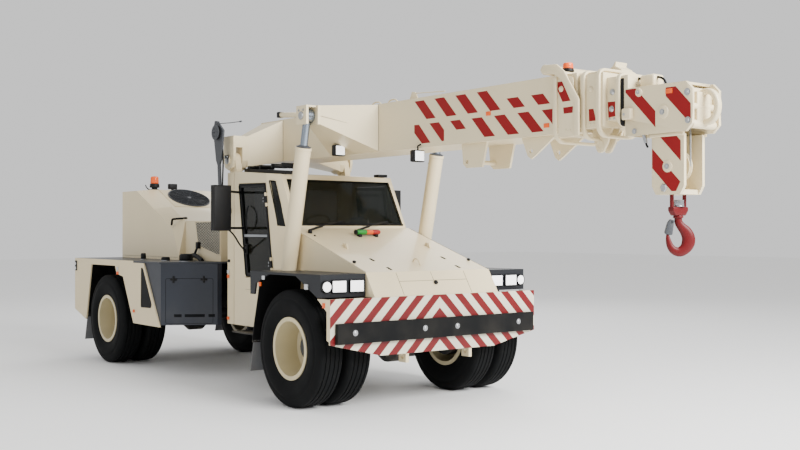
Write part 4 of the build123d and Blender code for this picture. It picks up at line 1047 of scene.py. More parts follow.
@dataclass
class Cab:
    """Seals, handles, mirrors, trim and the inside of the cab."""

    half: float = 0.88
    door: tuple[Point, ...] = ((-1.067, 2.403), (-0.435, 2.391), (-0.258, 1.314), (-0.894, 1.293))
    seat_y: float = -0.25
    seat_top: float = 1.72

    def build(self) -> None:
        """Makes the pieces of the cab."""
        self.seals()
        self.doors()
        self.mirrors()
        self.fittings()
        self.roof()
        self.seat()
        self.controls()

    def seals(self) -> None:
        """Rubber seals round the fixed windows."""
        rubber = Form()
        low, high, out = SCREEN_FOOT, SCREEN_HEAD, SCREEN_OUT
        corners = []
        for y, share in ((-0.745, 0.03), (0.745, 0.03), (0.728, 0.995), (-0.728, 0.995)):
            corners.append(low.lerp(high, share) + out * 0.002 + Vector((0, y, 0)))
        rubber.pipe(corners + corners[:1], 0.008, False, 2)
        for s in HALVES:
            pane = [(-0.372, 2.418), (-0.29, 2.412), (-0.08, 1.885), (-0.23, 1.896)]
            side = [(x, s * self.quarter_y(x), z) for x, z in pane]
            rubber.pipe(side + side[:1], 0.006, False, 2)
        rear = [(-1.181, y, z) for y, z in ((-0.62, 1.85), (0.62, 1.85), (0.62, 2.36), (-0.62, 2.36))]
        rubber.pipe(rear + rear[:1], 0.008, False, 2)
        rubber.done("window_seals", SEAL, FRONT)

    def quarter_y(self, x: float) -> float:
        """Distance of the quarter pane's face from the centre plane at x."""
        return self.half - 0.002 - max(0.0, (x + 0.42)) * 0.22

    def doors(self) -> None:
        """Door seals, handles, slide rail and hinge caps."""
        for side in Side:
            s, label = side.value, side.label
            body = f"door_{label}"
            rim = Form()
            middle_x, middle_z = sum(x for x, _ in self.door) / 4, sum(z for _, z in self.door) / 4
            middle = Vector((middle_x, s * self.half, middle_z))
            corners = [Vector((x, s * (self.half + 0.001), z)).lerp(middle, 0.018) for x, z in self.door]
            ring = []
            for n, corner in enumerate(corners):
                before, after = corners[n - 1], corners[(n + 1) % 4]
                ring += [corner.lerp(before, 0.07), corner.lerp(before, 0.02), corner.lerp(after, 0.02),
                         corner.lerp(after, 0.07)]
            rim.pipe([tuple(p) for p in ring + ring[:2]], 0.01, False, 3)
            rim.done(f"door_seal_{label}", SEAL, body)
            handle = Form().box((-0.905, s * 0.88, 1.56), (-0.845, s * 0.888, 1.68), 0.004)
            handle.pipe([(-0.875, s * 0.885, 1.665), (-0.875, s * 0.925, 1.655), (-0.875, s * 0.925, 1.585),
                         (-0.875, s * 0.885, 1.575)], 0.007)
            handle.pipe([(-0.85, s * 0.88, 1.84), (-0.8, s * 0.93, 1.86), (-0.79, s * 0.93, 2.1),
                         (-0.84, s * 0.88, 2.13)], 0.009, True, 3)
            handle.done(f"door_handle_{label}", PLASTIC, body)
            trim = Form().box((-0.93, s * 0.8815, 1.766), (-0.395, s * 0.8835, 1.794), 0.0008)
            trim.done(f"door_bar_trim_{label}", MACHINED, body)
            caps = Form()
            for z in (1.45, 2.2):
                x = -0.352 - 0.165 * (z - 1.45)
                for at in (z + 0.018, z - 0.018):
                    caps.hexagon((x, s * 0.8855, at), (x, s * 0.892, at), 0.008)
            caps.done(f"door_hinge_bolts_{label}", BOLT, body)

    def mirrors(self) -> None:
        """Rounded mirror shells with two glasses each, and their stays."""
        for side in Side:
            s, label = side.value, side.label
            body = f"door_{label}"
            shell = Form()
            y0, y1 = sorted((s * 1.137, s * 1.373))
            shell.box((-0.853, y0, 1.837), (-0.777, y1, 2.373), 0.03, 4)
            shell.box((-0.862, y0 + 0.012, 1.85), (-0.846, y1 - 0.012, 2.36), 0.006, 2)
            shell.pipe([(-0.8, s * 1.16, 1.845), (-0.79, s * 1.1, 1.8), (-0.86, s * 0.98, 1.66),
                        (-0.905, s * 0.885, 1.6)], 0.01, True, 4)
            shell.bar((-0.902, s * 0.88, 1.6), (-0.902, s * 0.897, 1.6), 0.022, 20, 0.003)
            shell.done(f"mirror_shell_{label}", PLASTIC, body)
            glass = Form().box((-0.8655, y0 + 0.022, 2.06), (-0.861, y1 - 0.022, 2.348), 0.0015)
            glass.box((-0.8655, y0 + 0.022, 1.862), (-0.861, y1 - 0.022, 2.045), 0.0015)
            glass.done(f"mirror_glass_{label}", MIRROR, body)

    def fittings(self) -> None:
        """Marker lamps, knobs, seams and the step on the cab's sides."""
        for side in Side:
            s, label = side.value, side.label
            amber = Form().box((-1.345, s * 0.879, 1.258), (-1.3, s * 0.893, 1.3), 0.004)
            amber.box((-1.345, s * 0.879, 0.748), (-1.3, s * 0.893, 0.786), 0.004)
            amber.done(f"cab_amber_markers_{label}", AMBER, FRONT)
            clear = Form().box((-1.345, s * 0.879, 1.318), (-1.3, s * 0.893, 1.356), 0.004)
            clear.done(f"cab_clear_marker_{label}", CLEAR_LAMP, FRONT)
            knob = Form().spin([(0.0, 0.022), (0.016, 0.02), (0.02, 0.012), (0.014, 0.004), (0.018, 0.0),
                                (0.0, 0.0)], (-1.3, s * 0.88, 1.47), (0, s, 0), 18)
            knob.done(f"cab_side_knob_{label}", PLASTIC, FRONT)
            seams = Form().pipe([(-0.9, s * 0.8803, 1.14), (-0.28, s * 0.8803, 1.14)], 0.0018, False, 1)
            seams.done(f"cab_side_seams_{label}", SEAM, FRONT)
            tube = Form()
            step_z, foot_y = 0.64, s * 0.9
            tube.box((-0.98, s * 0.8, step_z - 0.012), (-0.3, s * 1.02, step_z + 0.006), 0.004)
            for x in (-0.94, -0.34):
                tube.box((x - 0.02, s * 0.815, step_z), (x + 0.02, s * 0.835, 0.72), 0.003)
            for k in range(12):
                x = -0.93 + 0.053 * k
                tube.bar((x, foot_y - 0.08, step_z + 0.004), (x, foot_y + 0.08, step_z + 0.004), 0.006, 8)
            tube.done(f"cab_step_{label}", CHASSIS, FRONT)

    def roof(self) -> None:
        """Hoses in the roof tray, their clamps, and the small aerial box."""
        hoses = Form()
        for k in range(5):
            y = -0.735 + 0.036 * k
            hoses.pipe([(-1.1, y, 2.6), (-0.9, y + 0.006, 2.618), (-0.62, y - 0.006, 2.602),
                        (-0.38, y + 0.004, 2.592), (-0.245, y, 2.572)], 0.014)
        hoses.done("roof_hoses", HOSE, FRONT)
        clamps = Form()
        for x in (-1.05, -0.78, -0.5, -0.27):
            clamps.box((x - 0.014, -0.762, 2.575), (x + 0.014, -0.558, 2.626), 0.003)
        clamps.box((-0.36, 0.62, 2.5), (-0.26, 0.76, 2.535), 0.006)
        clamps.done("roof_clamps", PLASTIC, FRONT)

    def seat(self) -> None:
        """Padded seat cushion and back with piping."""
        y, top = self.seat_y, self.seat_top
        cushion = self.pad((-0.85, y - 0.232, top - 0.116), (-0.385, y + 0.232, top - 0.004), 0.0)
        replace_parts(cushion, "seat_pads")
        self.pad((-1.032, y - 0.222, top + 0.004), (-0.928, y + 0.222, top + 0.545), 0.21, "seat_back")
        piping = Form()
        edge = [(-0.845, y - 0.225), (-0.39, y - 0.225), (-0.39, y + 0.225), (-0.845, y + 0.225),
                (-0.845, y - 0.225)]
        piping.pipe([(x, py, top - 0.03) for x, py in edge], 0.005, False, 2)
        piping.done("seat_piping", PIPING, FRONT)

    def pad(self, low: Point, high: Point, lean: float, name: str = "seat_cushion") -> bpy.types.Object:
        """A crowned cushion with two sewn channels.

        Args:
            low: lowest corner before it leans.
            high: highest corner before it leans.
            lean: how far its top leans back for each metre of height.
            name: the piece's name.

        Returns:
            The cushion.
        """
        form = Form()
        middle, size = (Vector(low) + Vector(high)) / 2, Vector(high) - Vector(low)
        place = Matrix.Translation(middle) @ Matrix.Diagonal((*size, 1.0))
        bmesh.ops.create_cube(form.bm, size=1.0, matrix=place)
        bmesh.ops.subdivide_edges(form.bm, edges=form.bm.edges[:], cuts=15, use_grid_fill=True)
        thin = min(range(3), key=lambda n: size[n])
        for v in form.bm.verts:
            share = [(v.co[n] - middle[n]) / (size[n] / 2) for n in range(3)]
            others = [n for n in range(3) if n != thin]
            crown = (1 - share[others[0]] ** 4) * (1 - share[others[1]] ** 4)
            channel = 1 - 0.16 * max(0.0, 1 - abs(abs(share[1]) - 0.62) / 0.08)
            v.co[thin] = middle[thin] + (v.co[thin] - middle[thin]) * (0.62 + 0.38 * crown) * channel
            for n in others:
                v.co[n] = middle[n] + (v.co[n] - middle[n]) * (1 - 0.02 * share[thin] ** 2)
            v.co.x -= lean * (v.co.z - low[2])
        piece = form.done(name, CLOTH, FRONT, 60.0)
        smooth = piece.modifiers.new("soft", "SUBSURF")
        smooth.levels = smooth.render_levels = 1
        return piece

    def controls(self) -> None:
        """Display, gauges, switch panel and levers in the cab."""
        y = self.seat_y
        pod = Form().box((-0.285, y - 0.2, 1.82), (-0.19, y + 0.2, 1.905), 0.015, 3)
        pod.box((-0.3, 0.22, 1.83), (-0.25, 0.46, 2.0), 0.012, 3)
        pod.pipe([(-0.22, 0.34, 1.835), (-0.26, 0.34, 1.87)], 0.015, False, 3)
        pod.box((-0.62, -0.62, 1.6), (-0.4, -0.52, 1.68), 0.012, 3)
        pod.box((-0.62, 0.06, 1.6), (-0.4, 0.16, 1.68), 0.012, 3)
        for side_y in (-0.57, 0.11):
            pod.box((-0.53, side_y - 0.03, 1.29), (-0.47, side_y + 0.03, 1.61), 0.005)
            pod.pipe([(-0.47, side_y, 1.67), (-0.45, side_y, 1.74), (-0.445, side_y, 1.78)], 0.009)
            pod.spin([(0.0, 0.055), (0.018, 0.05), (0.024, 0.03), (0.018, 0.0), (0.0, 0.0)],
                     (-0.445, side_y, 1.77), Z_AXIS, 20)
        pod.done("cab_controls", CAB_PLASTIC, FRONT)
        glass = Form().box((-0.303, 0.235, 1.845), (-0.2995, 0.445, 1.985), 0.001)
        for k in (-1, 0, 1):
            glass.spin([(0.0, 0.004), (0.036, 0.004), (0.04, 0.0), (0.0, 0.0)],
                       (-0.2855, y + 0.11 * k, 1.862), (-1, 0, 0), 28)
        glass.done("cab_displays", SCREEN_GLOW, FRONT)


@dataclass
class Boom:
    """Stripes, lamps, pins, cable guides and the beacon of the boom."""

    half: float = 0.265
    top: float = 3.222
    film: float = 0.0009
    turn: Point = (0.6102, 0.7922)

    upper: tuple[tuple[Point, ...], ...] = (
        ((1.578, 3.188), (1.73, 3.188), (1.925, 2.988), (1.775, 2.988)),
        ((1.905, 3.186), (2.057, 3.186), (2.25, 2.987), (2.098, 2.987)),
        ((2.232, 3.184), (2.382, 3.184), (2.57, 2.986), (2.42, 2.986)),
        ((2.552, 3.183), (2.697, 3.183), (2.89, 2.984), (2.745, 2.984)),
        ((2.972, 3.08), (3.125, 3.08), (3.218, 2.982), (3.068, 2.982)),
        ((3.297, 3.078), (3.449, 3.078), (3.54, 2.98), (3.39, 2.98)),
    )
    lower: tuple[tuple[Point, ...], ...] = (
        ((1.572, 2.942), (1.65, 2.942), (1.84, 2.741), (1.699, 2.741), (1.572, 2.86)),
        ((1.823, 2.94), (1.975, 2.94), (2.057, 2.855), (2.057, 2.745), (2.022, 2.741)),
        ((2.15, 2.938), (2.3, 2.938), (2.392, 2.842), (2.247, 2.842)),
        ((2.474, 2.935), (2.624, 2.935), (2.812, 2.74), (2.662, 2.74)),
        ((2.796, 2.933), (2.946, 2.933), (3.14, 2.737), (2.99, 2.737)),
        ((3.116, 2.931), (3.264, 2.931), (3.458, 2.735), (3.31, 2.735)),
        ((3.433, 2.929), (3.584, 2.929), (3.584, 2.776)),
    )
    head: tuple[tuple[Point, ...], ...] = (
        ((4.345, 3.022), (4.452, 3.022), (4.658, 2.816), (4.658, 2.682), (4.345, 2.998)),
        ((4.764, 2.996), (4.862, 2.996), (5.008, 2.846), (5.008, 2.726), (4.972, 2.718), (4.764, 2.926)),
    )
    block: tuple[tuple[Point, ...], ...] = (
        ((4.662, 2.604), (4.827, 2.604), (4.868, 2.563), (4.868, 2.398)),
        ((4.58, 2.515), (4.864, 2.231), (4.822, 2.156), (4.776, 2.156), (4.58, 2.352)),
    )

    def build(self) -> None:
        """Makes the pieces of the boom, its head and the hook block."""
        self.stripes("boom_stripes", self.upper + self.lower, self.half, "boom")
        self.stripes("head_stripes", self.head, 0.19, "boom_tip")
        self.stripes("block_stripes", self.block, 0.135, "hook_block")
        self.collar_marks()
        self.markers()
        self.beacon()
        self.lamps()
        self.seams()
        self.cable_guide()
        self.pins()
        self.head_details()
        self.hook_details()
        self.rope()

    def stripes(self, name: str, shapes: Sequence[Sequence[Point]], y: float, body: str) -> None:
        """Film stripes on both faces of one body."""
        form = Form()
        for shape in shapes:
            form.plate(on_side(shape, -y), (0, -self.film, 0))
        form.both().done(name, RED_FILM, body)

    def collar_marks(self) -> None:
        """Cheek plates, stripes, hoops, lugs and the bracket of the collars between the sections."""
        cheek = Form()
        outline = rounded(((3.6, 2.665), (3.6, 3.235), (3.845, 3.185), (3.86, 2.665)),
                          (0.02, 0.03, 0.04, 0.03), 3)
        cheek.plate(on_side(outline, -0.2868), (0, -0.0052, 0), 0.002)
        cheek.both().done("collar_cheeks", BOOM_CREAM, "boom")
        self.stripes("collar_stripe_base", (((3.613, 3.155), (3.712, 3.156), (3.813, 2.975), (3.717, 2.974)),
                                            ((3.725, 2.923), (3.842, 2.924), (3.838, 2.868), (3.732, 2.867))),
                     0.292, "boom")
        self.stripes("collar_stripe_third", (((3.976, 2.889), (4.029, 2.889), (4.06, 2.784),
                                              (3.979, 2.783)),), 0.237, "boom_third")
        self.stripes("collar_stripe_tip", (((4.15, 2.937), (4.238, 2.936), (4.238, 2.809), (4.158, 2.803)),),
                     0.1905, "boom_tip")
        for name, body, rings in (("base", "boom", ((3.635, 0.3, 2.625, 3.24),)),
                                  ("third", "boom_third", ((3.922, 0.25, 2.64, 3.222),
                                                           (4.095, 0.25, 2.65, 3.222))),
                                  ("tip", "boom_tip", ((4.275, 0.204, 2.725, 3.166),))):
            hoop = Form()
            for x, half, z0, z1 in rings:
                path = rounded(((-half, z0), (half, z0), (half, z1), (-half, z1)), (0.11, 0.11, 0.07, 0.07),
                               8)
                line = [(x, y, z) for y, z in path]
                hoop.sweep(line, [0.014] * len(line), [0.023] * len(line), X_AXIS, True, 0.45)
            hoop.done(f"collar_hoops_{name}", BOOM_CREAM, body, 50.0)
        gap = Form()
        path = [(4.31, y, z) for y, z in rounded(((-0.186, 2.735), (0.186, 2.735), (0.186, 3.12),
                                                  (-0.186, 3.12)), (0.02,) * 4, 3)]
        gap.sweep(path, [0.016] * len(path), [0.019] * len(path), X_AXIS, True, 0.4)
        gap.done("head_gap_seal", SEAL, "boom_tip")
        lug = Form()
        shape = [(3.845, 2.732), (3.905, 2.545), (3.925, 2.523), (3.955, 2.52), (3.985, 2.53), (4.03, 2.6),
                 (4.09, 2.732)]
        lug.plate(on_side(shape, 0.037), (0, 0.025, 0), 0.004)
        lug.spin([(0.026, 0.034), (0.048, 0.034), (0.048, 0.066), (0.026, 0.066)], (3.948, 0, 2.585), Y_AXIS,
                 32, True)
        lug.both().done("third_collar_lugs", BOOM_CREAM, "boom_third")
        crest = Form()
        outline = [(3.82, 3.185), (3.86, 3.215), (4.0, 3.285), (4.03, 3.325), (4.045, 3.32), (4.035, 3.285),
                   (4.1, 3.25), (4.125, 3.21), (4.125, 3.185)]
        crest.plate(on_side(outline, 0.04), (0, 0.15, 0), 0.006)
        crest.box((3.9, -0.2, 3.19), (4.1, -0.06, 3.215), 0.006)
        crest.done("third_collar_bracket", BOOM_CREAM, "boom_third")
        slot = Form().plate([(3.905, 0.0385, 3.205), (4.0, 0.0385, 3.253), (4.0, 0.0385, 3.268),
                             (3.905, 0.0385, 3.22)], (0, 0.003, 0))
        slot.done("third_collar_slot", SEAL, "boom_third")

    def markers(self) -> None:
        """Orange reflectors along the boom."""
        for name, body, x, z, y in (("base_rear", "boom", 2.72, 2.962, 0.2665),
                                    ("base_front", "boom", 3.495, 2.785, 0.2665),
                                    ("head", "boom_tip", 4.797, 2.965, 0.1915)):
            form = Form().box((x - 0.034, -y - 0.004, z - 0.02), (x + 0.034, -y + 0.001, z + 0.02), 0.0015)
            form.both().done(f"boom_reflector_{name}", AMBER, body)

    def beacon(self) -> None:
        """Cross tube over the first collar, and a flashing beacon on the hoop in front of it."""
        tube = Form().bar((3.5, -0.3, 3.285), (3.5, 0.3, 3.285), 0.046, 32, 0.006)
        for s in HALVES:
            outline = [(3.455, 3.285), (3.5, 3.325), (3.66, 3.315), (3.75, 3.245), (3.925, 2.98),
                       (3.925, 2.66), (3.868, 2.66), (3.868, 2.955), (3.72, 3.17), (3.63, 3.225),
                       (3.515, 3.24)]
            tube.plate(on_side(outline, s * 0.293), (0, s * 0.02, 0), 0.006)
        tube.done("boom_cross_tube", BOOM_CREAM, "boom")
        Beacon("boom_beacon", (3.635, -0.135, 3.249), 0.052, 0.098).build("boom")

    def lamps(self) -> None:
        """Work lamps under the boom's arms and side."""
        for n, (x, y, z) in enumerate(((0.443, -0.45, 2.737), (1.675, -0.3, 2.611))):
            box = Form().box((x - 0.035, y - 0.07, z - 0.062), (x + 0.03, y + 0.07, z + 0.062), 0.01, 3)
            for k in range(5):
                box.box((x - 0.052, y - 0.06 + 0.028 * k, z - 0.055),
                        (x - 0.034, y - 0.052 + 0.028 * k, z + 0.055), 0.001, 1)
            box.pipe([(x, y, z + 0.055), (x, y, z + 0.085)] if n == 0
                     else [(x, y, z + 0.055), (x, y, 2.715), (x, -0.262, 2.735)], 0.009, False, 3)
            box.done(f"work_lamp_{n}", PLASTIC, "boom")
            lens = Form().box((x + 0.0295, y - 0.058, z - 0.05), (x + 0.036, y + 0.058, z + 0.05), 0.004)
            lens.done(f"work_lamp_lens_{n}", WHITE_LAMP, "boom")

    def seams(self) -> None:
        """Bend lines along the four arms, and the stub tubes with their bands."""
        lines = Form()
        for s in HALVES:
            lines.pipe([(-1.062, s * 0.267, 2.935), (-1.2, s * 0.69, 2.86)], 0.0016, False, 1)
            lines.pipe([(-1.057, s * 0.266, 2.71), (-1.057, s * 0.266, 3.215)], 0.0018, False, 1)
            lines.pipe([(0.944, s * 0.266, 2.71), (0.944, s * 0.266, 3.215)], 0.0018, False, 1)
            lines.pipe([(0.925, s * 0.275, 2.93), (0.697, s * 0.855, 3.075)], 0.0016, False, 1)
        lines.done("boom_bend_lines", SEAM, "boom")
        stub = Form()
        for s in HALVES:
            stub.bar((0.46, s * 0.868, 3.108), (-0.1, s * 0.868, 3.155), 0.03, 28, 0.003)
        stub.done("stub_tubes", BOOM_CREAM, "boom")
        caps = Form()
        for s in HALVES:
            caps.box((-0.155, s * 0.868 - 0.033, 3.125), (-0.095, s * 0.868 + 0.033, 3.19), 0.006)
        caps.done("stub_tube_bands", PLASTIC, "boom")

    def cable_guide(self) -> None:
        """Guide rod and cables along the top of the boom, with eyes and a folded handle."""
        rod = Form()
        for x in (0.75, 1.05):
            rod.pipe([(x - 0.09, -0.15, self.top - 0.002), (x - 0.08, -0.15, self.top + 0.05),
                      (x + 0.08, -0.15, self.top + 0.05), (x + 0.09, -0.15, self.top - 0.002)], 0.008)
        rod.plate([(1.36, -0.17, self.top - 0.004), (1.52, -0.17, self.top - 0.004),
                   (1.47, -0.17, self.top + 0.085), (1.41, -0.17, self.top + 0.095)], (0, 0.012, 0), 0.002)
        rod.pipe([(1.44, -0.164, self.top + 0.075), (1.95, -0.164, self.top + 0.045)], 0.005, False, 2)
        rod.done("boom_guide_rods", BOOM_CREAM, "boom")
        cable = Form()
        for k in range(3):
            y = -0.06 + 0.03 * k
            cable.pipe([(-1.45, y, self.top + 0.011), (0.0, y + 0.004, self.top + 0.013),
                        (1.5, y - 0.004, self.top + 0.011), (3.4, y, self.top + 0.013)], 0.01, True, 2)
        for x in (-1.2, -0.5, 0.2, 0.9, 1.6, 2.3, 3.0):
            cable.box((x - 0.015, -0.085, self.top - 0.001), (x + 0.015, 0.025, self.top + 0.028), 0.003)
        cable.done("boom_cables", HOSE, "boom")

    def pins(self) -> None:
        """Pin heads and keeper plates on the arms' ends."""
        heads, plates = Form(), Form()
        for s in HALVES:
            plates.box((-1.37, s * 0.9052, 2.725), (-1.27, s * 0.917, 2.765), 0.003)
            heads.hexagon((-1.35, s * 0.917, 2.745), (-1.35, s * 0.926, 2.745), 0.01)
            heads.hexagon((-1.29, s * 0.917, 2.745), (-1.29, s * 0.926, 2.745), 0.01)
            heads.spin([(0.0, 0.012), (0.03, 0.011), (0.046, 0.004), (0.048, 0.0), (0.0, 0.0)],
                       (-1.32, s * 0.905, 2.7), (0, s, 0), 36)
        plates.done("root_pin_keepers", CHASSIS, FRONT)
        heads.done("root_pin_heads", BOLT, FRONT)
        ends = Form()
        for s in HALVES:
            ends.spin([(0.0, 0.02), (0.034, 0.018), (0.044, 0.01), (0.046, 0.0), (0.0, 0.0)],
                      (0.558, s * 1.02, 3.081), (0, s, 0), 32)
            ends.hexagon((0.6, s * 1.02, 3.14), (0.6, s * 1.029, 3.14), 0.01)
            ends.hexagon((0.51, s * 1.02, 3.14), (0.51, s * 1.029, 3.14), 0.01)
        ends.done("lift_pin_heads", BOLT, "boom")

    def head_details(self) -> None:
        """Bosses, bolts and cables of the boom head, the rope socket and the collars' bolts."""
        boss = Form()
        for s in HALVES:
            for x, z, r in ((4.49, 2.985, 0.032), (HEAD_X, 2.8, 0.05)):
                boss.spin([(0.0, 0.016), (r * 0.7, 0.016), (r, 0.012), (r * 1.15, 0.0), (0.0, 0.0)],
                          (x, s * 0.19, z), (0, s, 0), 32)
            boss.box((4.335, s * 0.187, 2.765), (4.43, s * 0.236, 2.86), 0.012, 3)
        boss.box((4.42, -0.1, 3.028), (4.57, 0.04, 3.145), 0.022, 3)
        boss.box((4.4, -0.155, 3.026), (4.66, 0.155, 3.04), 0.004)
        boss.done("head_bosses", BOOM_CREAM, "boom_tip")
        bolts = Form()
        for s in HALVES:
            for x, z, r in ((HEAD_X, 2.8, 0.018), (4.975, 2.94, 0.022), (4.98, 2.715, 0.02),
                            (4.44, 2.665, 0.018), (4.49, 2.985, 0.012)):
                base = 0.206 if (x, z) in ((HEAD_X, 2.8), (4.49, 2.985)) else 0.19
                bolts.hexagon((x, s * base, z), (x, s * (base + 0.014), z), r)
            bolts.hexagon((4.365, s * 0.232, 2.81), (4.365, s * 0.242, 2.81), 0.012)
        bolts.done("head_bolts", BOLT, "boom_tip")
        cable = Form().pipe([(4.24, -0.05, 3.15), (4.3, -0.05, 3.142), (4.36, -0.05, 3.128),
                             (4.425, -0.05, 3.118)], 0.011)
        cable.pipe([(4.565, -0.05, 3.118), (4.61, -0.05, 3.112), (4.655, -0.05, 3.07), (4.665, -0.05, 3.02)],
                   0.01)
        cable.pipe([(4.543, -0.168, 2.565), (4.548, -0.168, 2.54), (4.562, -0.166, 2.525)], 0.009)
        cable.done("head_cable", HOSE, "boom_tip")
        socket = Form().bar((4.52, -0.168, 2.645), (4.543, -0.168, 2.56), 0.02, 24, 0.004, far=0.014)
        socket.box((4.505, -0.178, 2.64), (4.54, -0.158, 2.668), 0.003)
        socket.done("rope_socket", MACHINED, "boom_tip")
        for name, body, half, spots in (("first", "boom", 0.292, ((3.66, 2.745), (3.66, 2.7), (3.76, 2.72),
                                                                  (3.81, 2.715), (3.7, 3.09))),
                                        ("third", "boom_third", 0.237, ((3.99, 2.76), (4.03, 2.76),
                                                                        (4.0, 3.06))),
                                        ("tip", "boom_tip", 0.1905,
                                         ((4.19, 2.875), (4.2, 3.02), (4.17, 2.79), (4.22, 2.79)))):
            form = Form()
            for s in HALVES:
                for x, z in spots:
                    r = 0.022 if (x, z) in ((3.7, 3.09), (4.0, 3.06), (4.19, 2.875), (4.2, 3.02)) else 0.009
                    form.spin([(0.0, r * 0.7), (r * 0.7, r * 0.65), (r, r * 0.3), (r * 1.3, 0.0), (0.0, 0.0)],
                              (x, s * half, z), (0, s, 0), 24)
            form.done(f"{name}_collar_bolts", BOLT if name == "tip" else BOOM_CREAM, body, slot="cream_paint")

    def nose_loop(self, tip: bpy.types.Object) -> None:
        """Lifting loop at the boom's nose, in place of the plain round end.

        Args:
            tip: the carried-over node of the boom's last section.
        """
        body = Form()
        body.bm.from_mesh(tip.data)
        bmesh.ops.remove_doubles(body.bm, verts=body.bm.verts[:], dist=1e-5)
        disc = [v for v in body.bm.verts if v.co.x > 4.905 and abs(v.co.y) < 0.045 and 2.7 < v.co.z < 2.96]
        bmesh.ops.delete(body.bm, geom=disc, context="VERTS")
        body.bar((4.98, -0.185, 2.83), (4.98, 0.185, 2.83), 0.028, 32)
        body.box((4.955, -0.1, 2.665), (5.005, 0.075, 2.95), 0.008, 3)
        body.box((4.905, -0.1585, 2.672), (4.96, 0.1585, 2.985), 0.004, 2)
        body.bar((4.975, -0.15, 2.69), (4.975, 0.15, 2.69), 0.036, 32, 0.006)
        angles = [2 * pi * k / 64 for k in range(64)]
        path = [(5.024 + 0.101 * cos(a), 0.0, 2.83 + 0.124 * sin(a)) for a in angles]
        body.sweep(path, [0.025] * 64, [0.03] * 64, Y_AXIS, True, 0.55)
        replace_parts(body.done("boom_head_and_loop", BOOM_CREAM, "boom_tip", 35.0), "boom_tip")

    def hook_details(self) -> None:
        """Bosses and bolts of the hook block, and the yoke over the hook."""
        boss, bolts = Form(), Form()
        for s in HALVES:
            boss.spin([(0.0, 0.012), (0.038, 0.012), (0.046, 0.008), (0.05, 0.0), (0.0, 0.0)],
                      (HEAD_X, s * 0.135, 2.36), (0, s, 0), 32)
            bolts.hexagon((HEAD_X, s * 0.147, 2.36), (HEAD_X, s * 0.16, 2.36), 0.018)
            bolts.spin([(0.0, 0.014), (0.03, 0.013), (0.036, 0.006), (0.036, 0.0), (0.0, 0.0)],
                       (4.7, s * 0.135, 2.185), (0, s, 0), 6)
        for s in HALVES:
            boss.box((4.562, s * 0.133, 2.602), (4.912, s * 0.158, 2.634), 0.009, 3)
        boss.done("block_bosses", BOOM_CREAM, "hook_block")
        bolts.done("block_bolts", BOLT, "hook_block")
        yoke = Form()
        shape = [(-0.098, 2.031), (0.098, 2.031), (0.098, 1.998), (0.066, 1.958), (-0.066, 1.958),
                 (-0.098, 1.998)]
        yoke.plate([(4.708, y, z) for y, z in shape], (0.06, 0, 0), 0.009, 3)
        for s in HALVES:
            yoke.bar((HEAD_X, s * 0.082, 2.01), (HEAD_X, s * 0.082, 2.15), 0.0165, 24)
        yoke.done("hook_yoke", HOOK_RED, "hook_block")
        self.hook_body()

    def at_hook(self, u: float, z: float, off: float = 0.0) -> Vector:
        """A point in the hook's own plane, u from its axis and off across the plane."""
        return Vector((HEAD_X + self.turn[0] * u - self.turn[1] * off, self.turn[1] * u + self.turn[0] * off,
                       z))

    def hook_body(self) -> None:
        """Forged hook with its shank, nut and safety latch."""
        knots = ((0.0, 2.0, 0.03, 0.03), (0.0, 1.955, 0.03, 0.03), (0.003, 1.905, 0.032, 0.031),
                 (0.028, 1.866, 0.037, 0.031), (0.06, 1.83, 0.047, 0.031), (0.083, 1.782, 0.053, 0.031),
                 (0.082, 1.732, 0.054, 0.031), (0.056, 1.687, 0.047, 0.03), (0.01, 1.66, 0.041, 0.029),
                 (-0.036, 1.672, 0.034, 0.027), (-0.065, 1.706, 0.028, 0.024), (-0.08, 1.75, 0.022, 0.02),
                 (-0.087, 1.796, 0.013, 0.014), (-0.085, 1.816, 0.005, 0.006))
        line = []
        for n in range(len(knots) - 1):
            a, b, c, d = knots[max(n - 1, 0)], knots[n], knots[n + 1], knots[min(n + 2, len(knots) - 1)]
            for k in range(4):
                line.append([smooth_between(*values, k / 4) for values in zip(a, b, c, d)])
        line.append(list(knots[-1]))
        form = Form().sweep([self.at_hook(u, z) for u, z, _, _ in line], [w for _, _, w, _ in line],
                            [t for _, _, _, t in line], (-self.turn[1], self.turn[0], 0), False, 0.8)
        form.bar((HEAD_X, 0, 1.938), (HEAD_X, 0, 1.957), 0.042, 32, 0.004)
        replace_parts(form.done("forged_hook", HOOK_RED, "hook", 50.0), "hook")
        nut = Form().bar((HEAD_X, 0, 2.0315), (HEAD_X, 0, 2.04), 0.05, 32, 0.002)
        nut.bar((HEAD_X, 0, 2.04), (HEAD_X, 0, 2.088), 0.047, 6, 0.004)
        nut.done("hook_nut", MACHINED, "hook")
        latch = Form()
        shape = ((-0.07, 1.93), (-0.036, 1.92), (-0.051, 1.803), (-0.064, 1.797), (-0.104, 1.806),
                 (-0.112, 1.822), (-0.09, 1.9))
        latch.plate([self.at_hook(u, z, -0.021) for u, z in shape],
                    tuple(self.at_hook(0, 0, 0.042) - self.at_hook(0, 0)), 0.004)
        latch.bar(self.at_hook(-0.046, 1.912, -0.032), self.at_hook(-0.046, 1.912, 0.032), 0.01, 20, 0.001)
        latch.done("hook_latch", DARK_STEEL, "hook")

    def rope(self) -> None:
        """Laid wire rope in place of the plain falls."""
        seat = self.falls("rope_head_run", 2.805, 2.712)
        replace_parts(seat, "rope_upper")
        self.falls("rope_hoist_run", 2.712, 2.62)
        low = self.strands("rope_block_run", 2.62, 2.36)
        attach(low, "hook_block")
        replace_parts(low, "rope_lower")

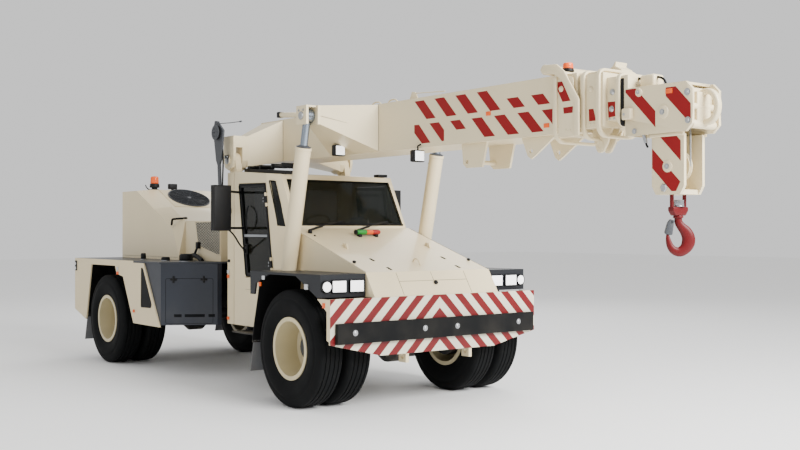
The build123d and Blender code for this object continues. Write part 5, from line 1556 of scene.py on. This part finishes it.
    def strands(self, name: str, z0: float, z1: float) -> bpy.types.Object:
        """Six strands laid round each fall between two heights.

        Args:
            name: the piece's name.
            z0: upper end.
            z1: lower end.

        Returns:
            The rope, not yet riding on anything.
        """
        form = Form()
        steps = max(4, int((z0 - z1) / 0.008))
        heights = [z0 - (z0 - z1) * n / steps for n in range(steps + 1)]
        for s in HALVES:
            cx = HEAD_X + s * 0.122
            for k in range(6):
                turns = [2 * pi * k / 6 + z * 60.0 for z in heights]
                line = [(cx + 0.0052 * cos(a), 0.0052 * sin(a), z) for a, z in zip(turns, heights)]
                form.pipe(line, 0.0029, False, 1)
        return form.loose(name, WIRE)

    def falls(self, name: str, z0: float, z1: float) -> bpy.types.Object:
        """A run of rope that stretches between two bodies."""
        piece = self.strands(name, z0, z1)
        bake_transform(piece)
        return piece


@dataclass
class Beacon:
    """A flashing beacon: rubber foot, clamp ring and a ribbed amber dome."""

    name: str
    foot: Point
    radius: float
    height: float

    def build(self, body: str) -> None:
        """Makes the beacon on one body."""
        r, h = self.radius, self.height
        base = Form().spin([(0.0, 0.0), (r * 0.62, 0.0), (r * 0.62, h * 0.12), (r * 1.05, h * 0.14),
                            (r * 1.08, h * 0.22), (r * 1.0, h * 0.42), (r * 0.9, h * 0.45), (0.0, h * 0.45)],
                           self.foot, Z_AXIS, 36)
        base.done(f"{self.name}_foot", PLASTIC, body)
        dome = Form().spin([(r * 0.88, h * 0.44), (r * 0.93, h * 0.5), (r * 0.92, h * 0.6),
                            (r * 0.9, h * 0.61), (r * 0.91, h * 0.72), (r * 0.88, h * 0.73),
                            (r * 0.88, h * 0.86), (r * 0.78, h * 0.95), (r * 0.45, h * 0.99), (0.0, h)],
                           self.foot, Z_AXIS, 40)
        dome.done(f"{self.name}_dome", AMBER, body)


@dataclass
class EngineModule:
    """Tank covers, hood, grilles, lamps and fittings behind the cab."""

    side: float = 1.375
    deck: float = 1.44
    fan_centre: Point = (-4.19, 0.0, 2.32)
    fan_radius: float = 0.3
    slope: tuple[Point, Point] = ((-4.48, 2.455), (-3.896, 2.185))
    corner: Point = (-2.23, 1.355)
    run: Point = (0.548, 0.836)

    def build(self) -> None:
        """Makes the pieces of the engine module."""
        self.tanks()
        self.deck_fittings()
        self.markers()
        self.tail()
        self.hood()
        self.fan()
        self.side_grilles()
        self.flaps()

    def on_slant(self, s: int, along: float, z: float, out: float = 0.0) -> Vector:
        """A point on the tank cover's slanted corner panel."""
        (x, y), (dx, dy) = self.corner, self.run
        return Vector((x + dx * along + dy * out, s * (y - dy * along + dx * out), z))

    def slab(self, form: Form, s: int, place: Point, size: Point, bevel: float) -> None:
        """Adds a block on the slanted panel; place is (along, z) and size is (along, out, z)."""
        along, out = (self.run[0], -s * self.run[1], 0), (self.run[1], s * self.run[0], 0)
        turn = Matrix((along, out, Z_AXIS)).transposed()
        middle = self.on_slant(s, place[0], place[1])
        form.box(middle - Vector(size) / 2, middle + Vector(size) / 2, bevel, 2, turn)

    def tanks(self) -> None:
        """Hatch outline, latches and low slots on the tank covers, and the dark window behind them."""
        for side in Side:
            s, label = side.value, side.label
            seams = Form()
            frame = rounded(((0.06, 1.232), (0.655, 1.232), (0.655, 0.66), (0.06, 0.66)), (0.02,) * 4, 3)
            closed = [tuple(self.on_slant(s, a, z, 0.0006)) for a, z in frame + frame[:1]]
            seams.pipe(closed, 0.0024, False, 1)
            seams.done(f"tank_seams_{label}", SLATE_SEAM, REAR)
            slots = Form()
            for a0, a1 in ((0.165, 0.26), (0.3, 0.552), (0.599, 0.68)):
                self.slab(slots, s, ((a0 + a1) / 2, 0.76), (a1 - a0, 0.003, 0.036), 0.0012)
            slots.done(f"tank_slots_{label}", SLATE_SEAM, REAR)
            latch = Form()
            for along in (0.159, 0.54):
                self.slab(latch, s, (along, 1.219), (0.085, 0.016, 0.026), 0.004)
                self.slab(latch, s, (along, 1.219), (0.026, 0.02, 0.085), 0.004)
                latch.bar(self.on_slant(s, along, 1.219, 0.0), self.on_slant(s, along, 1.219, 0.018), 0.018,
                          24, 0.002)
            latch.done(f"tank_latches_{label}", PLASTIC, REAR)
            window = Form()
            shape = rounded(((-2.792, 1.365), (-2.715, 1.35), (-2.411, 0.84), (-2.801, 0.832)),
                            (0.02, 0.025, 0.05, 0.03), 5)
            window.plate(on_side(shape, s * self.side), (0, s * 0.0008, 0))
            window.done(f"side_window_{label}", SEAL, REAR)
            lip = Form().pipe(on_side(shape + shape[:1], s * (self.side + 0.001)), 0.005, False, 2)
            lip.done(f"side_window_lip_{label}", CREAM, REAR)

    def deck_fittings(self) -> None:
        """Filler caps on the deck with their neck rings, and the hose and elbow beside the cooler."""
        caps, necks = Form(), Form()
        for x, y, r, h in ((-3.56, -1.0, 0.035, 0.09), (-2.85, -1.0, 0.055, 0.05),
                           (-2.342, -0.95, 0.084, 0.1), (-3.1, 1.02, 0.055, 0.045),
                           (-2.62, 0.95, 0.084, 0.06)):
            necks.spin([(r * 1.1, 0.0), (r * 1.1, 0.008), (r * 0.9, 0.012), (r * 0.9, 0.0)],
                       (x, y, self.deck), Z_AXIS, 32, True)
            caps.spin([(0.0, h), (r * 0.8, h), (r * 0.95, h * 0.9), (r, h * 0.6), (r, h * 0.25),
                       (r * 0.88, 0.004), (0.0, 0.004)], (x, y, self.deck), Z_AXIS, 32)
            for k in range(8):
                angle = pi / 8 + k * pi / 4
                px, py = x + cos(angle) * r * 0.98, y + sin(angle) * r * 0.98
                caps.bar((px, py, self.deck + 0.012), (px, py, self.deck + h * 0.82), r * 0.07, 8)
        caps.pipe([(-2.86, -0.66, 1.445), (-2.8, -0.66, 1.505), (-2.66, -0.66, 1.512), (-2.52, -0.66, 1.47),
                   (-2.46, -0.66, 1.44)], 0.03, True, 4)
        caps.box((-2.672, -0.655, 1.6), (-2.612, -0.598, 1.69), 0.01, 3)
        caps.pipe([(-2.642, -0.64, 1.62), (-2.655, -0.655, 1.56), (-2.7, -0.66, 1.51)], 0.016)
        caps.done("filler_caps", PLASTIC, REAR)
        necks.done("filler_necks", MACHINED, REAR)

    def markers(self) -> None:
        """Amber, clear and red markers along the sides."""
        for side in Side:
            s, label = side.value, side.label
            y0, y1 = sorted((s * 1.3745, s * 1.389))
            amber = Form().box((-3.575, y0, 1.243), (-3.528, y1, 1.283), 0.004)
            amber.box((-3.035, y0, 0.757), (-2.99, y1, 0.795), 0.004)
            amber.done(f"rear_amber_markers_{label}", AMBER, REAR)
            clear = Form().box((-3.575, y0, 1.303), (-3.528, y1, 1.345), 0.004)
            clear.done(f"rear_clear_marker_{label}", CLEAR_LAMP, REAR)
            holder = Form().box((-5.125, y0, 1.255), (-5.065, y1, 1.4), 0.005)
            holder.done(f"rear_side_lamp_{label}", PLASTIC, REAR)
            pair = Form()
            for z in (1.29, 1.355):
                pair.spin([(0.0, 0.008), (0.018, 0.006), (0.022, 0.0), (0.0, 0.0)], (-5.095, s * 1.388, z),
                          (0, s, 0), 24)
            pair.done(f"rear_side_lens_{label}", CLEAR_LAMP, REAR)

    def tail(self) -> None:
        """Lamp clusters, a blank plate and a tow pin on the tail panel."""
        x = -5.1505
        frames, bolts = Form(), Form()
        for s in HALVES:
            y0, y1 = sorted((s * 0.92, s * 1.3))
            frames.box((x - 0.018, y0, 1.16), (x, y1, 1.32), 0.006, 3)
            for k, (finish, label) in enumerate(((RED_LENS, "stop"), (AMBER, "turn"),
                                                 (CLEAR_LAMP, "reverse"))):
                mid = s * (0.985 + 0.125 * k)
                lens = Form().spin([(0.0, 0.016), (0.03, 0.014), (0.046, 0.006), (0.05, 0.0), (0.0, 0.0)],
                                   (x - 0.017, mid, 1.24), (-1, 0, 0), 32)
                lens.done(f"tail_{label}_{Side(s).label}", finish, REAR)
        frames.box((x - 0.006, -0.2, 0.98), (x, 0.2, 1.12), 0.002)
        frames.done("tail_lamp_frames", PLASTIC, REAR)
        for y in (-0.17, 0.17):
            bolts.hexagon((x - 0.006, y, 1.05), (x - 0.014, y, 1.05), 0.008)
        bolts.done("tail_plate_bolts", BOLT, REAR)
        tow = Form()
        for z in (0.8, 0.9):
            tow.box((-5.228, -0.09, z - 0.012), (x + 0.002, 0.09, z + 0.012), 0.006, 2)
        tow.bar((-5.19, 0, 0.77), (-5.19, 0, 0.94), 0.02, 20, 0.003)
        tow.done("tail_tow_jaw", CHASSIS, REAR)

    def hood(self) -> None:
        """Hood with slanted shoulders, its seams, handle, beacon and small box."""
        cover = Form()
        rings = []
        for x, inner, middle, side in ((-5.0, 0.45, 2.455, 2.43), (-4.48, 0.45, 2.455, 2.43),
                                       (-3.896, 0.42, 2.185, 2.158), (-3.271, 0.56, 2.02, 1.866),
                                       (-3.08, 0.6, 1.975, 1.48)):
            rings.append([(x, -0.7, self.deck), (x, -0.7, side), (x, -inner, middle), (x, inner, middle),
                          (x, 0.7, side), (x, 0.7, self.deck)])
        cover.skin(rings, False, 0.01, 4)
        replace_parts(cover.done("hood_cover", CREAM, REAR, 12.0), "engine_hood")
        panel = Form()
        along = Vector((self.slope[1][0] - self.slope[0][0], 0, self.slope[1][1] - self.slope[0][1]))
        up = Vector((-along.z, 0, along.x)).normalized()
        places = ((-0.36, 0.02), (0.36, 0.02), (0.36, 0.985), (-0.36, 0.985))
        corners = [Vector((self.slope[0][0], y, self.slope[0][1])) + along * share for y, share in places]
        panel.plate([tuple(c - up * 0.002) for c in corners], tuple(up * 0.01), 0.003)
        panel.done("fan_panel", CREAM, REAR)
        seams = Form()
        for s in HALVES:
            y = s * 0.7008
            seams.pipe([(-4.96, y, 1.475), (-3.62, y, 1.475), (-3.11, y, 1.475)], 0.002, False, 1)
        seams.done("hood_seams", SEAM, REAR)
        handle = Form()
        for s in HALVES:
            handle.pipe([(-3.3, s * 0.7, 1.925), (-3.225, s * 0.73, 1.99), (-3.22, s * 0.72, 2.002),
                         (-3.215, s * 0.53, 2.016), (-3.222, s * 0.505, 2.016), (-3.3, s * 0.495, 2.02)],
                        0.015, True, 4)
        handle.done("hood_handles", PLASTIC, REAR)
        mount = Form().box((-4.64, -0.42, 2.45), (-4.54, -0.32, 2.464), 0.003)
        mount.box((-4.625, -0.085, 2.45), (-4.595, -0.045, 2.48), 0.004)
        mount.box((-4.645, -0.13, 2.472), (-4.575, 0.0, 2.555), 0.01, 3)
        mount.pipe([(-4.62, -0.43, 2.455), (-4.66, -0.47, 2.48), (-4.68, -0.47, 2.53)], 0.008)
        mount.done("hood_lamp_mount", PLASTIC, REAR)
        Beacon("rear_beacon", (-4.589, -0.367, 2.462), 0.068, 0.2).build(REAR)
        hinges = Form()
        for y in (-0.45, 0.45):
            hinges.bar((-5.003, y - 0.05, 1.49), (-5.003, y + 0.05, 1.49), 0.011, 16, 0.001)
            hinges.box((-5.006, y - 0.045, 1.45), (-4.998, y + 0.045, 1.53), 0.002)
        hinges.done("hood_hinges", CHASSIS, REAR)

    def fan(self) -> None:
        """Round cooling grille in the hood's slope: a frame, rings and spokes over a dark well."""
        (x0, z0), (x1, z1) = self.slope
        along = Vector((x1 - x0, 0, z1 - z0)).normalized()
        normal = Vector((-along.z, 0, along.x))
        centre = Vector(self.fan_centre)
        centre += normal * ((Vector((x0, 0, z0)) - centre).dot(normal) + 0.0085)
        r = self.fan_radius
        well = Form().spin([(0.0, 0.0012), (r, 0.0012), (r, -0.001), (0.0, -0.001)], centre, normal, 64)
        for k in range(7):
            angle = 2 * pi * k / 7
            arm = along * cos(angle) + Vector((0, sin(angle), 0))
            turn = normal.cross(arm)
            root, tip = centre + arm * 0.05, centre + arm * (r - 0.02)
            outline = [root + turn * 0.02, tip + turn * 0.055, tip - turn * 0.055, root - turn * 0.02]
            well.plate([tuple(p + normal * 0.002) for p in outline], tuple(normal * 0.002))
        well.done("fan_well", SLATE_SEAM, REAR)
        cage = Form().spin([(r - 0.002, 0.0), (r - 0.002, 0.012), (r + 0.006, 0.016), (r + 0.014, 0.012),
                            (r + 0.016, 0.0)], centre, normal, 72, True)
        for n in range(1, 21):
            ring = r * n / 21
            wire = 0.0016
            cage.spin([(ring - wire, 0.01), (ring, 0.0116), (ring + wire, 0.01), (ring, 0.0084)], centre,
                      normal, 56, True)
        for k in range(12):
            angle = 2 * pi * k / 12
            arm = along * cos(angle) + Vector((0, sin(angle), 0))
            cage.pipe([tuple(centre + arm * 0.02 + normal * 0.008),
                       tuple(centre + arm * (r + 0.002) + normal * 0.008)], 0.0025, False, 1)
        boss = [(0.0, 0.016), (0.026, 0.015), (0.03, 0.01), (0.03, 0.006), (0.0, 0.006)]
        cage.spin(boss, centre, normal, 32)
        cage.done("fan_cage", DARK_STEEL, REAR)

    def side_grilles(self) -> None:
        """Expanded metal over the cooler's sides, in a thin frame."""
        for side in Side:
            s, label = side.value, side.label
            y = s * 0.6005
            corners = [(-2.768, 1.958), (-2.062, 1.958), (-2.062, 1.53), (-2.145, 1.525), (-2.684, 1.639)]
            back = Form().plate(on_side(corners, y), (0, s * 0.0015, 0))
            back.done(f"cooler_core_{label}", SLATE_SEAM, REAR)
            mesh = Form()
            self.diamonds(mesh, corners, s * 0.605)
            mesh.done(f"cooler_mesh_{label}", GRILLE, REAR, 60.0)
            rim = Form()
            closed = corners + corners[:1]
            rim.pipe(on_side(closed, s * 0.605), 0.006, False, 2)
            rim.done(f"cooler_frame_{label}", CREAM, REAR)

    @staticmethod
    def diamonds(form: Form, corners: Sequence[Point], y: float) -> None:
        """Fills an outline with diamond-shaped wires."""
        xs, zs = [x for x, _ in corners], [z for _, z in corners]
        low, high = (min(xs), min(zs)), (max(xs), max(zs))
        pitch_x, pitch_z = 0.046, 0.036
        across, up = int((high[0] - low[0]) / pitch_x) + 1, int((high[1] - low[1]) / pitch_z) + 1
        middle = ((low[0] + high[0]) / 2, y, (low[1] + high[1]) / 2)
        place = Matrix.Translation(middle) @ Matrix.Rotation(pi / 2, 4, "X")
        size = Matrix.Diagonal((across * pitch_x, up * pitch_z, 1, 1))
        grid = bmesh.ops.create_grid(form.bm, x_segments=across, y_segments=up, size=0.5, matrix=place @ size)
        bmesh.ops.poke(form.bm, faces=list({f for v in grid["verts"] for f in v.link_faces}))
        inner = []
        for edge in form.bm.edges:
            run = edge.verts[1].co - edge.verts[0].co
            if min(abs(run.x), abs(run.z)) < 1e-5 and len(edge.link_faces) == 2:
                inner.append(edge)
        bmesh.ops.dissolve_edges(form.bm, edges=inner, use_verts=False)
        for n, (x0, z0) in enumerate(corners):
            x1, z1 = corners[(n + 1) % len(corners)]
            out = Vector((-(z1 - z0), 0, x1 - x0))
            bmesh.ops.bisect_plane(form.bm, geom=form.bm.verts[:] + form.bm.edges[:] + form.bm.faces[:],
                                   dist=1e-6, plane_co=(x0, y, z0), plane_no=out, clear_outer=True)
        bmesh.ops.wireframe(form.bm, faces=form.bm.faces[:], thickness=0.0058, use_replace=True,
                            use_boundary=True, use_even_offset=True)

    def flaps(self) -> None:
        """Clamp bars over the rear mudflaps."""
        for side in Side:
            s, label = side.value, side.label
            clamp = Form().box((-4.716, s * 0.765, 0.595), (-4.698, s * 1.36, 0.632), 0.002)
            for k in range(6):
                y = s * (0.82 + 0.1 * k)
                clamp.hexagon((-4.716, y, 0.613), (-4.726, y, 0.613), 0.009)
            clamp.done(f"rear_flap_clamp_{label}", CHASSIS, REAR)


@dataclass
class Cylinders:
    """Glands, ports and pipes of the lift cylinders."""

    low: Point = (0.07, 0.95)
    high: Point = (0.558, 3.081)
    y: float = 0.94
    barrel: float = 0.085

    def build(self) -> None:
        """Makes the fittings of both lift cylinders."""
        length = hypot(self.high[0] - self.low[0], self.high[1] - self.low[1])
        run = Vector(((self.high[0] - self.low[0]) / length, 0, (self.high[1] - self.low[1]) / length))
        gland, ports = Form(), Form()
        for s in HALVES:
            base = Vector((self.low[0], s * self.y, self.low[1]))
            mouth = base + run * 1.84
            gland.spin([(0.0425, 0.0), (0.076, 0.0), (0.082, 0.006), (0.082, 0.012), (0.06, 0.018),
                        (0.05, 0.026), (0.0425, 0.026)], mouth, run, 40, True)
            start, end = base + run * 0.3, base + run * 1.72
            side = Vector((-run.z, 0, run.x)) * (self.barrel + 0.014)
            ports.pipe([start + side, end + side], 0.009, False, 3)
            for point in (start, end):
                ports.bar(point + side * 0.8, point + side * 1.25, 0.016, 16, 0.002)
        gland.done("lift_cylinder_glands", DARK_STEEL, "lift_barrels")
        ports.done("lift_cylinder_pipes", CHASSIS, "lift_barrels")


@dataclass
class Reel:
    """Cable reel on the bracket behind the cab, with its guide rod."""

    x: float = -1.365
    y: float = -1.045
    z: float = 3.04

    def build(self) -> None:
        """Makes the reel's flanges, wound cable and guide rod."""
        flange = Form().spin([(0.012, -0.004), (0.09, -0.004), (0.094, -0.001), (0.094, 0.003),
                              (0.012, 0.003)], (self.x, self.y, self.z), Y_AXIS, 40, True)
        for k in range(6):
            angle = 2 * pi * k / 6
            flange.hexagon((self.x + 0.05 * cos(angle), self.y - 0.004, self.z + 0.05 * sin(angle)),
                           (self.x + 0.05 * cos(angle), self.y - 0.012, self.z + 0.05 * sin(angle)), 0.007)
        flange.pipe([(-1.345, -1.0, 3.1), (-1.345, -1.0, 3.175)], 0.006, False, 3)
        flange.pipe([(-1.345, -1.0, 3.15), (-1.05, -1.0, 3.136), (-0.8, -1.0, 3.132)], 0.005, False, 3)
        flange.bar((-0.83, -1.0, 3.132), (-0.79, -1.0, 3.132), 0.01, 14, 0.002)
        flange.done("reel_flange", DARK_STEEL, FRONT)
        cable = Form()
        for k in range(4):
            angles = [pi * n / 3 for n in range(6)]
            profile = [(0.079 + 0.006 * cos(a), 0.012 + 0.011 * k + 0.006 * sin(a)) for a in angles]
            cable.spin(profile, (self.x, self.y, self.z), Y_AXIS, 40, True)
        cable.pipe([(-1.3, -1.0, 2.98), (-1.26, -0.985, 2.8), (-1.285, -0.985, 2.45), (-1.3, -0.985, 2.15)],
                   0.01)
        cable.done("reel_cable", HOSE, FRONT)


class Studio:
    """Camera at the photograph's view, a pale floor and soft lights."""

    camera: Point = (10.218, -7.113, 1.825)
    toward: Point = (-0.792, 0.61)
    rise: float = 0.0065
    lens: float = 47.43

    def build(self) -> None:
        """Makes the floor, the lights and the camera."""
        bpy.ops.mesh.primitive_plane_add(size=120.0, location=(0, 0, 0))
        floor = bpy.context.object
        floor.name = "floor"
        tree = Tree("studio_floor")
        tree.feed("Base Color", srgb("f6f6f5"))
        tree.feed("Roughness", 0.7)
        floor.data.materials.append(tree.material)
        world = bpy.data.worlds.new("studio")
        world.use_nodes = True
        world.node_tree.nodes["Background"].inputs[0].default_value = (1.0, 1.0, 1.0, 1.0)
        world.node_tree.nodes["Background"].inputs[1].default_value = 0.9
        bpy.context.scene.world = world
        for name, place, size, power in (("key", (12.0, 1.5, 7.5), 6.0, 3600.0),
                                         ("fill", (0.0, -13.0, 6.0), 9.0, 260.0),
                                         ("back", (-9.0, 8.0, 9.0), 8.0, 500.0)):
            data = bpy.data.lights.new(name, "AREA")
            data.size, data.energy = size, power
            lamp = bpy.data.objects.new(name, data)
            lamp.location = place
            lamp.rotation_mode = "QUATERNION"
            lamp.rotation_quaternion = (Vector((0, 0, 1.2)) - Vector(place)).to_track_quat("-Z", "Y")
            bpy.context.scene.collection.objects.link(lamp)
        data = bpy.data.cameras.new("photo_view")
        data.lens, data.sensor_width, data.sensor_fit = self.lens, 36.0, "HORIZONTAL"
        data.clip_end = 300.0
        camera = bpy.data.objects.new("photo_view", data)
        camera.location = self.camera
        camera.rotation_mode = "QUATERNION"
        look = Vector((self.toward[0] * cos(self.rise), self.toward[1] * cos(self.rise), sin(self.rise)))
        camera.rotation_quaternion = look.to_track_quat("-Z", "Y")
        bpy.context.scene.collection.objects.link(camera)
        bpy.context.scene.camera = camera


DRESS: dict[str, Finish] = {
    "bumper": CHEVRON, "bumper_pad": PAD, "rear_body": DECK, "front_mudflaps": FLAP, "rear_mudflaps": FLAP,
    "headlamps": WHITE_LAMP, "cab_glass": GLASS, "door_glass_right": GLASS, "door_glass_left": GLASS,
    "hook": HOOK_RED, "lift_rods": ROD_CHROME, "steer_rod_right": ROD_CHROME, "steer_rod_left": ROD_CHROME,
    "boom_base": BOOM_CREAM, "boom_second": BOOM_CREAM, "boom_third": BOOM_CREAM, "boom_tip": BOOM_CREAM,
    "hook_block": BOOM_CREAM, "front_frame": TOWER, "front_fenders": WING_SLATE, "block_sheave": BOOM_CREAM,
}
SLOT_FINISH: dict[str, Finish] = {
    "cream_paint": CREAM, "slate_paint": SLATE, "rim_paint": RIM_CREAM_WITH_PAINTED_SHADE, "chassis_black": CHASSIS,
    "black_trim": PLASTIC, "cab_plastic": CAB_PLASTIC, "seat_fabric": CLOTH, "black_rubber": PAD,
    "grey_rubber": FLAP, "tyre_rubber": TYRE, "tinted_glass": GLASS, "lamp_glass": CLEAR_LAMP,
    "dark_steel": DARK_STEEL, "rope_steel": WIRE, "rod_chrome": ROD_CHROME, "hook_red": HOOK_RED,
}


def dress_nodes(frame: dict) -> None:
    """Gives every carried-over node its finish.
    """
    slots = {item["node"]: item["material_slot"] for item in frame["record"]["subparts"]}
    for name, node in frame["nodes"].items():
        finish = DRESS.get(name, SLOT_FINISH[slots[name]])
        node.data.materials.clear()
        node.data.materials.append(Shop.get(finish))
        LOG.info("%s: %s", name, finish.name)


def main() -> None:
    """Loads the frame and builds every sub-assembly."""
    logging.basicConfig(level=logging.INFO, format="%(message)s")
    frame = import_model()
    Studio().build()
    dress_nodes(frame)
    boom = Boom()
    boom.nose_loop(frame["nodes"]["boom_tip"])
    for part in (Wheels(), NoseEnd(), Cab(), boom, Cylinders(), Reel(), EngineModule()):
        part.build()
        LOG.info("%s done", type(part).__name__)


if __name__ == "__main__":
    main()
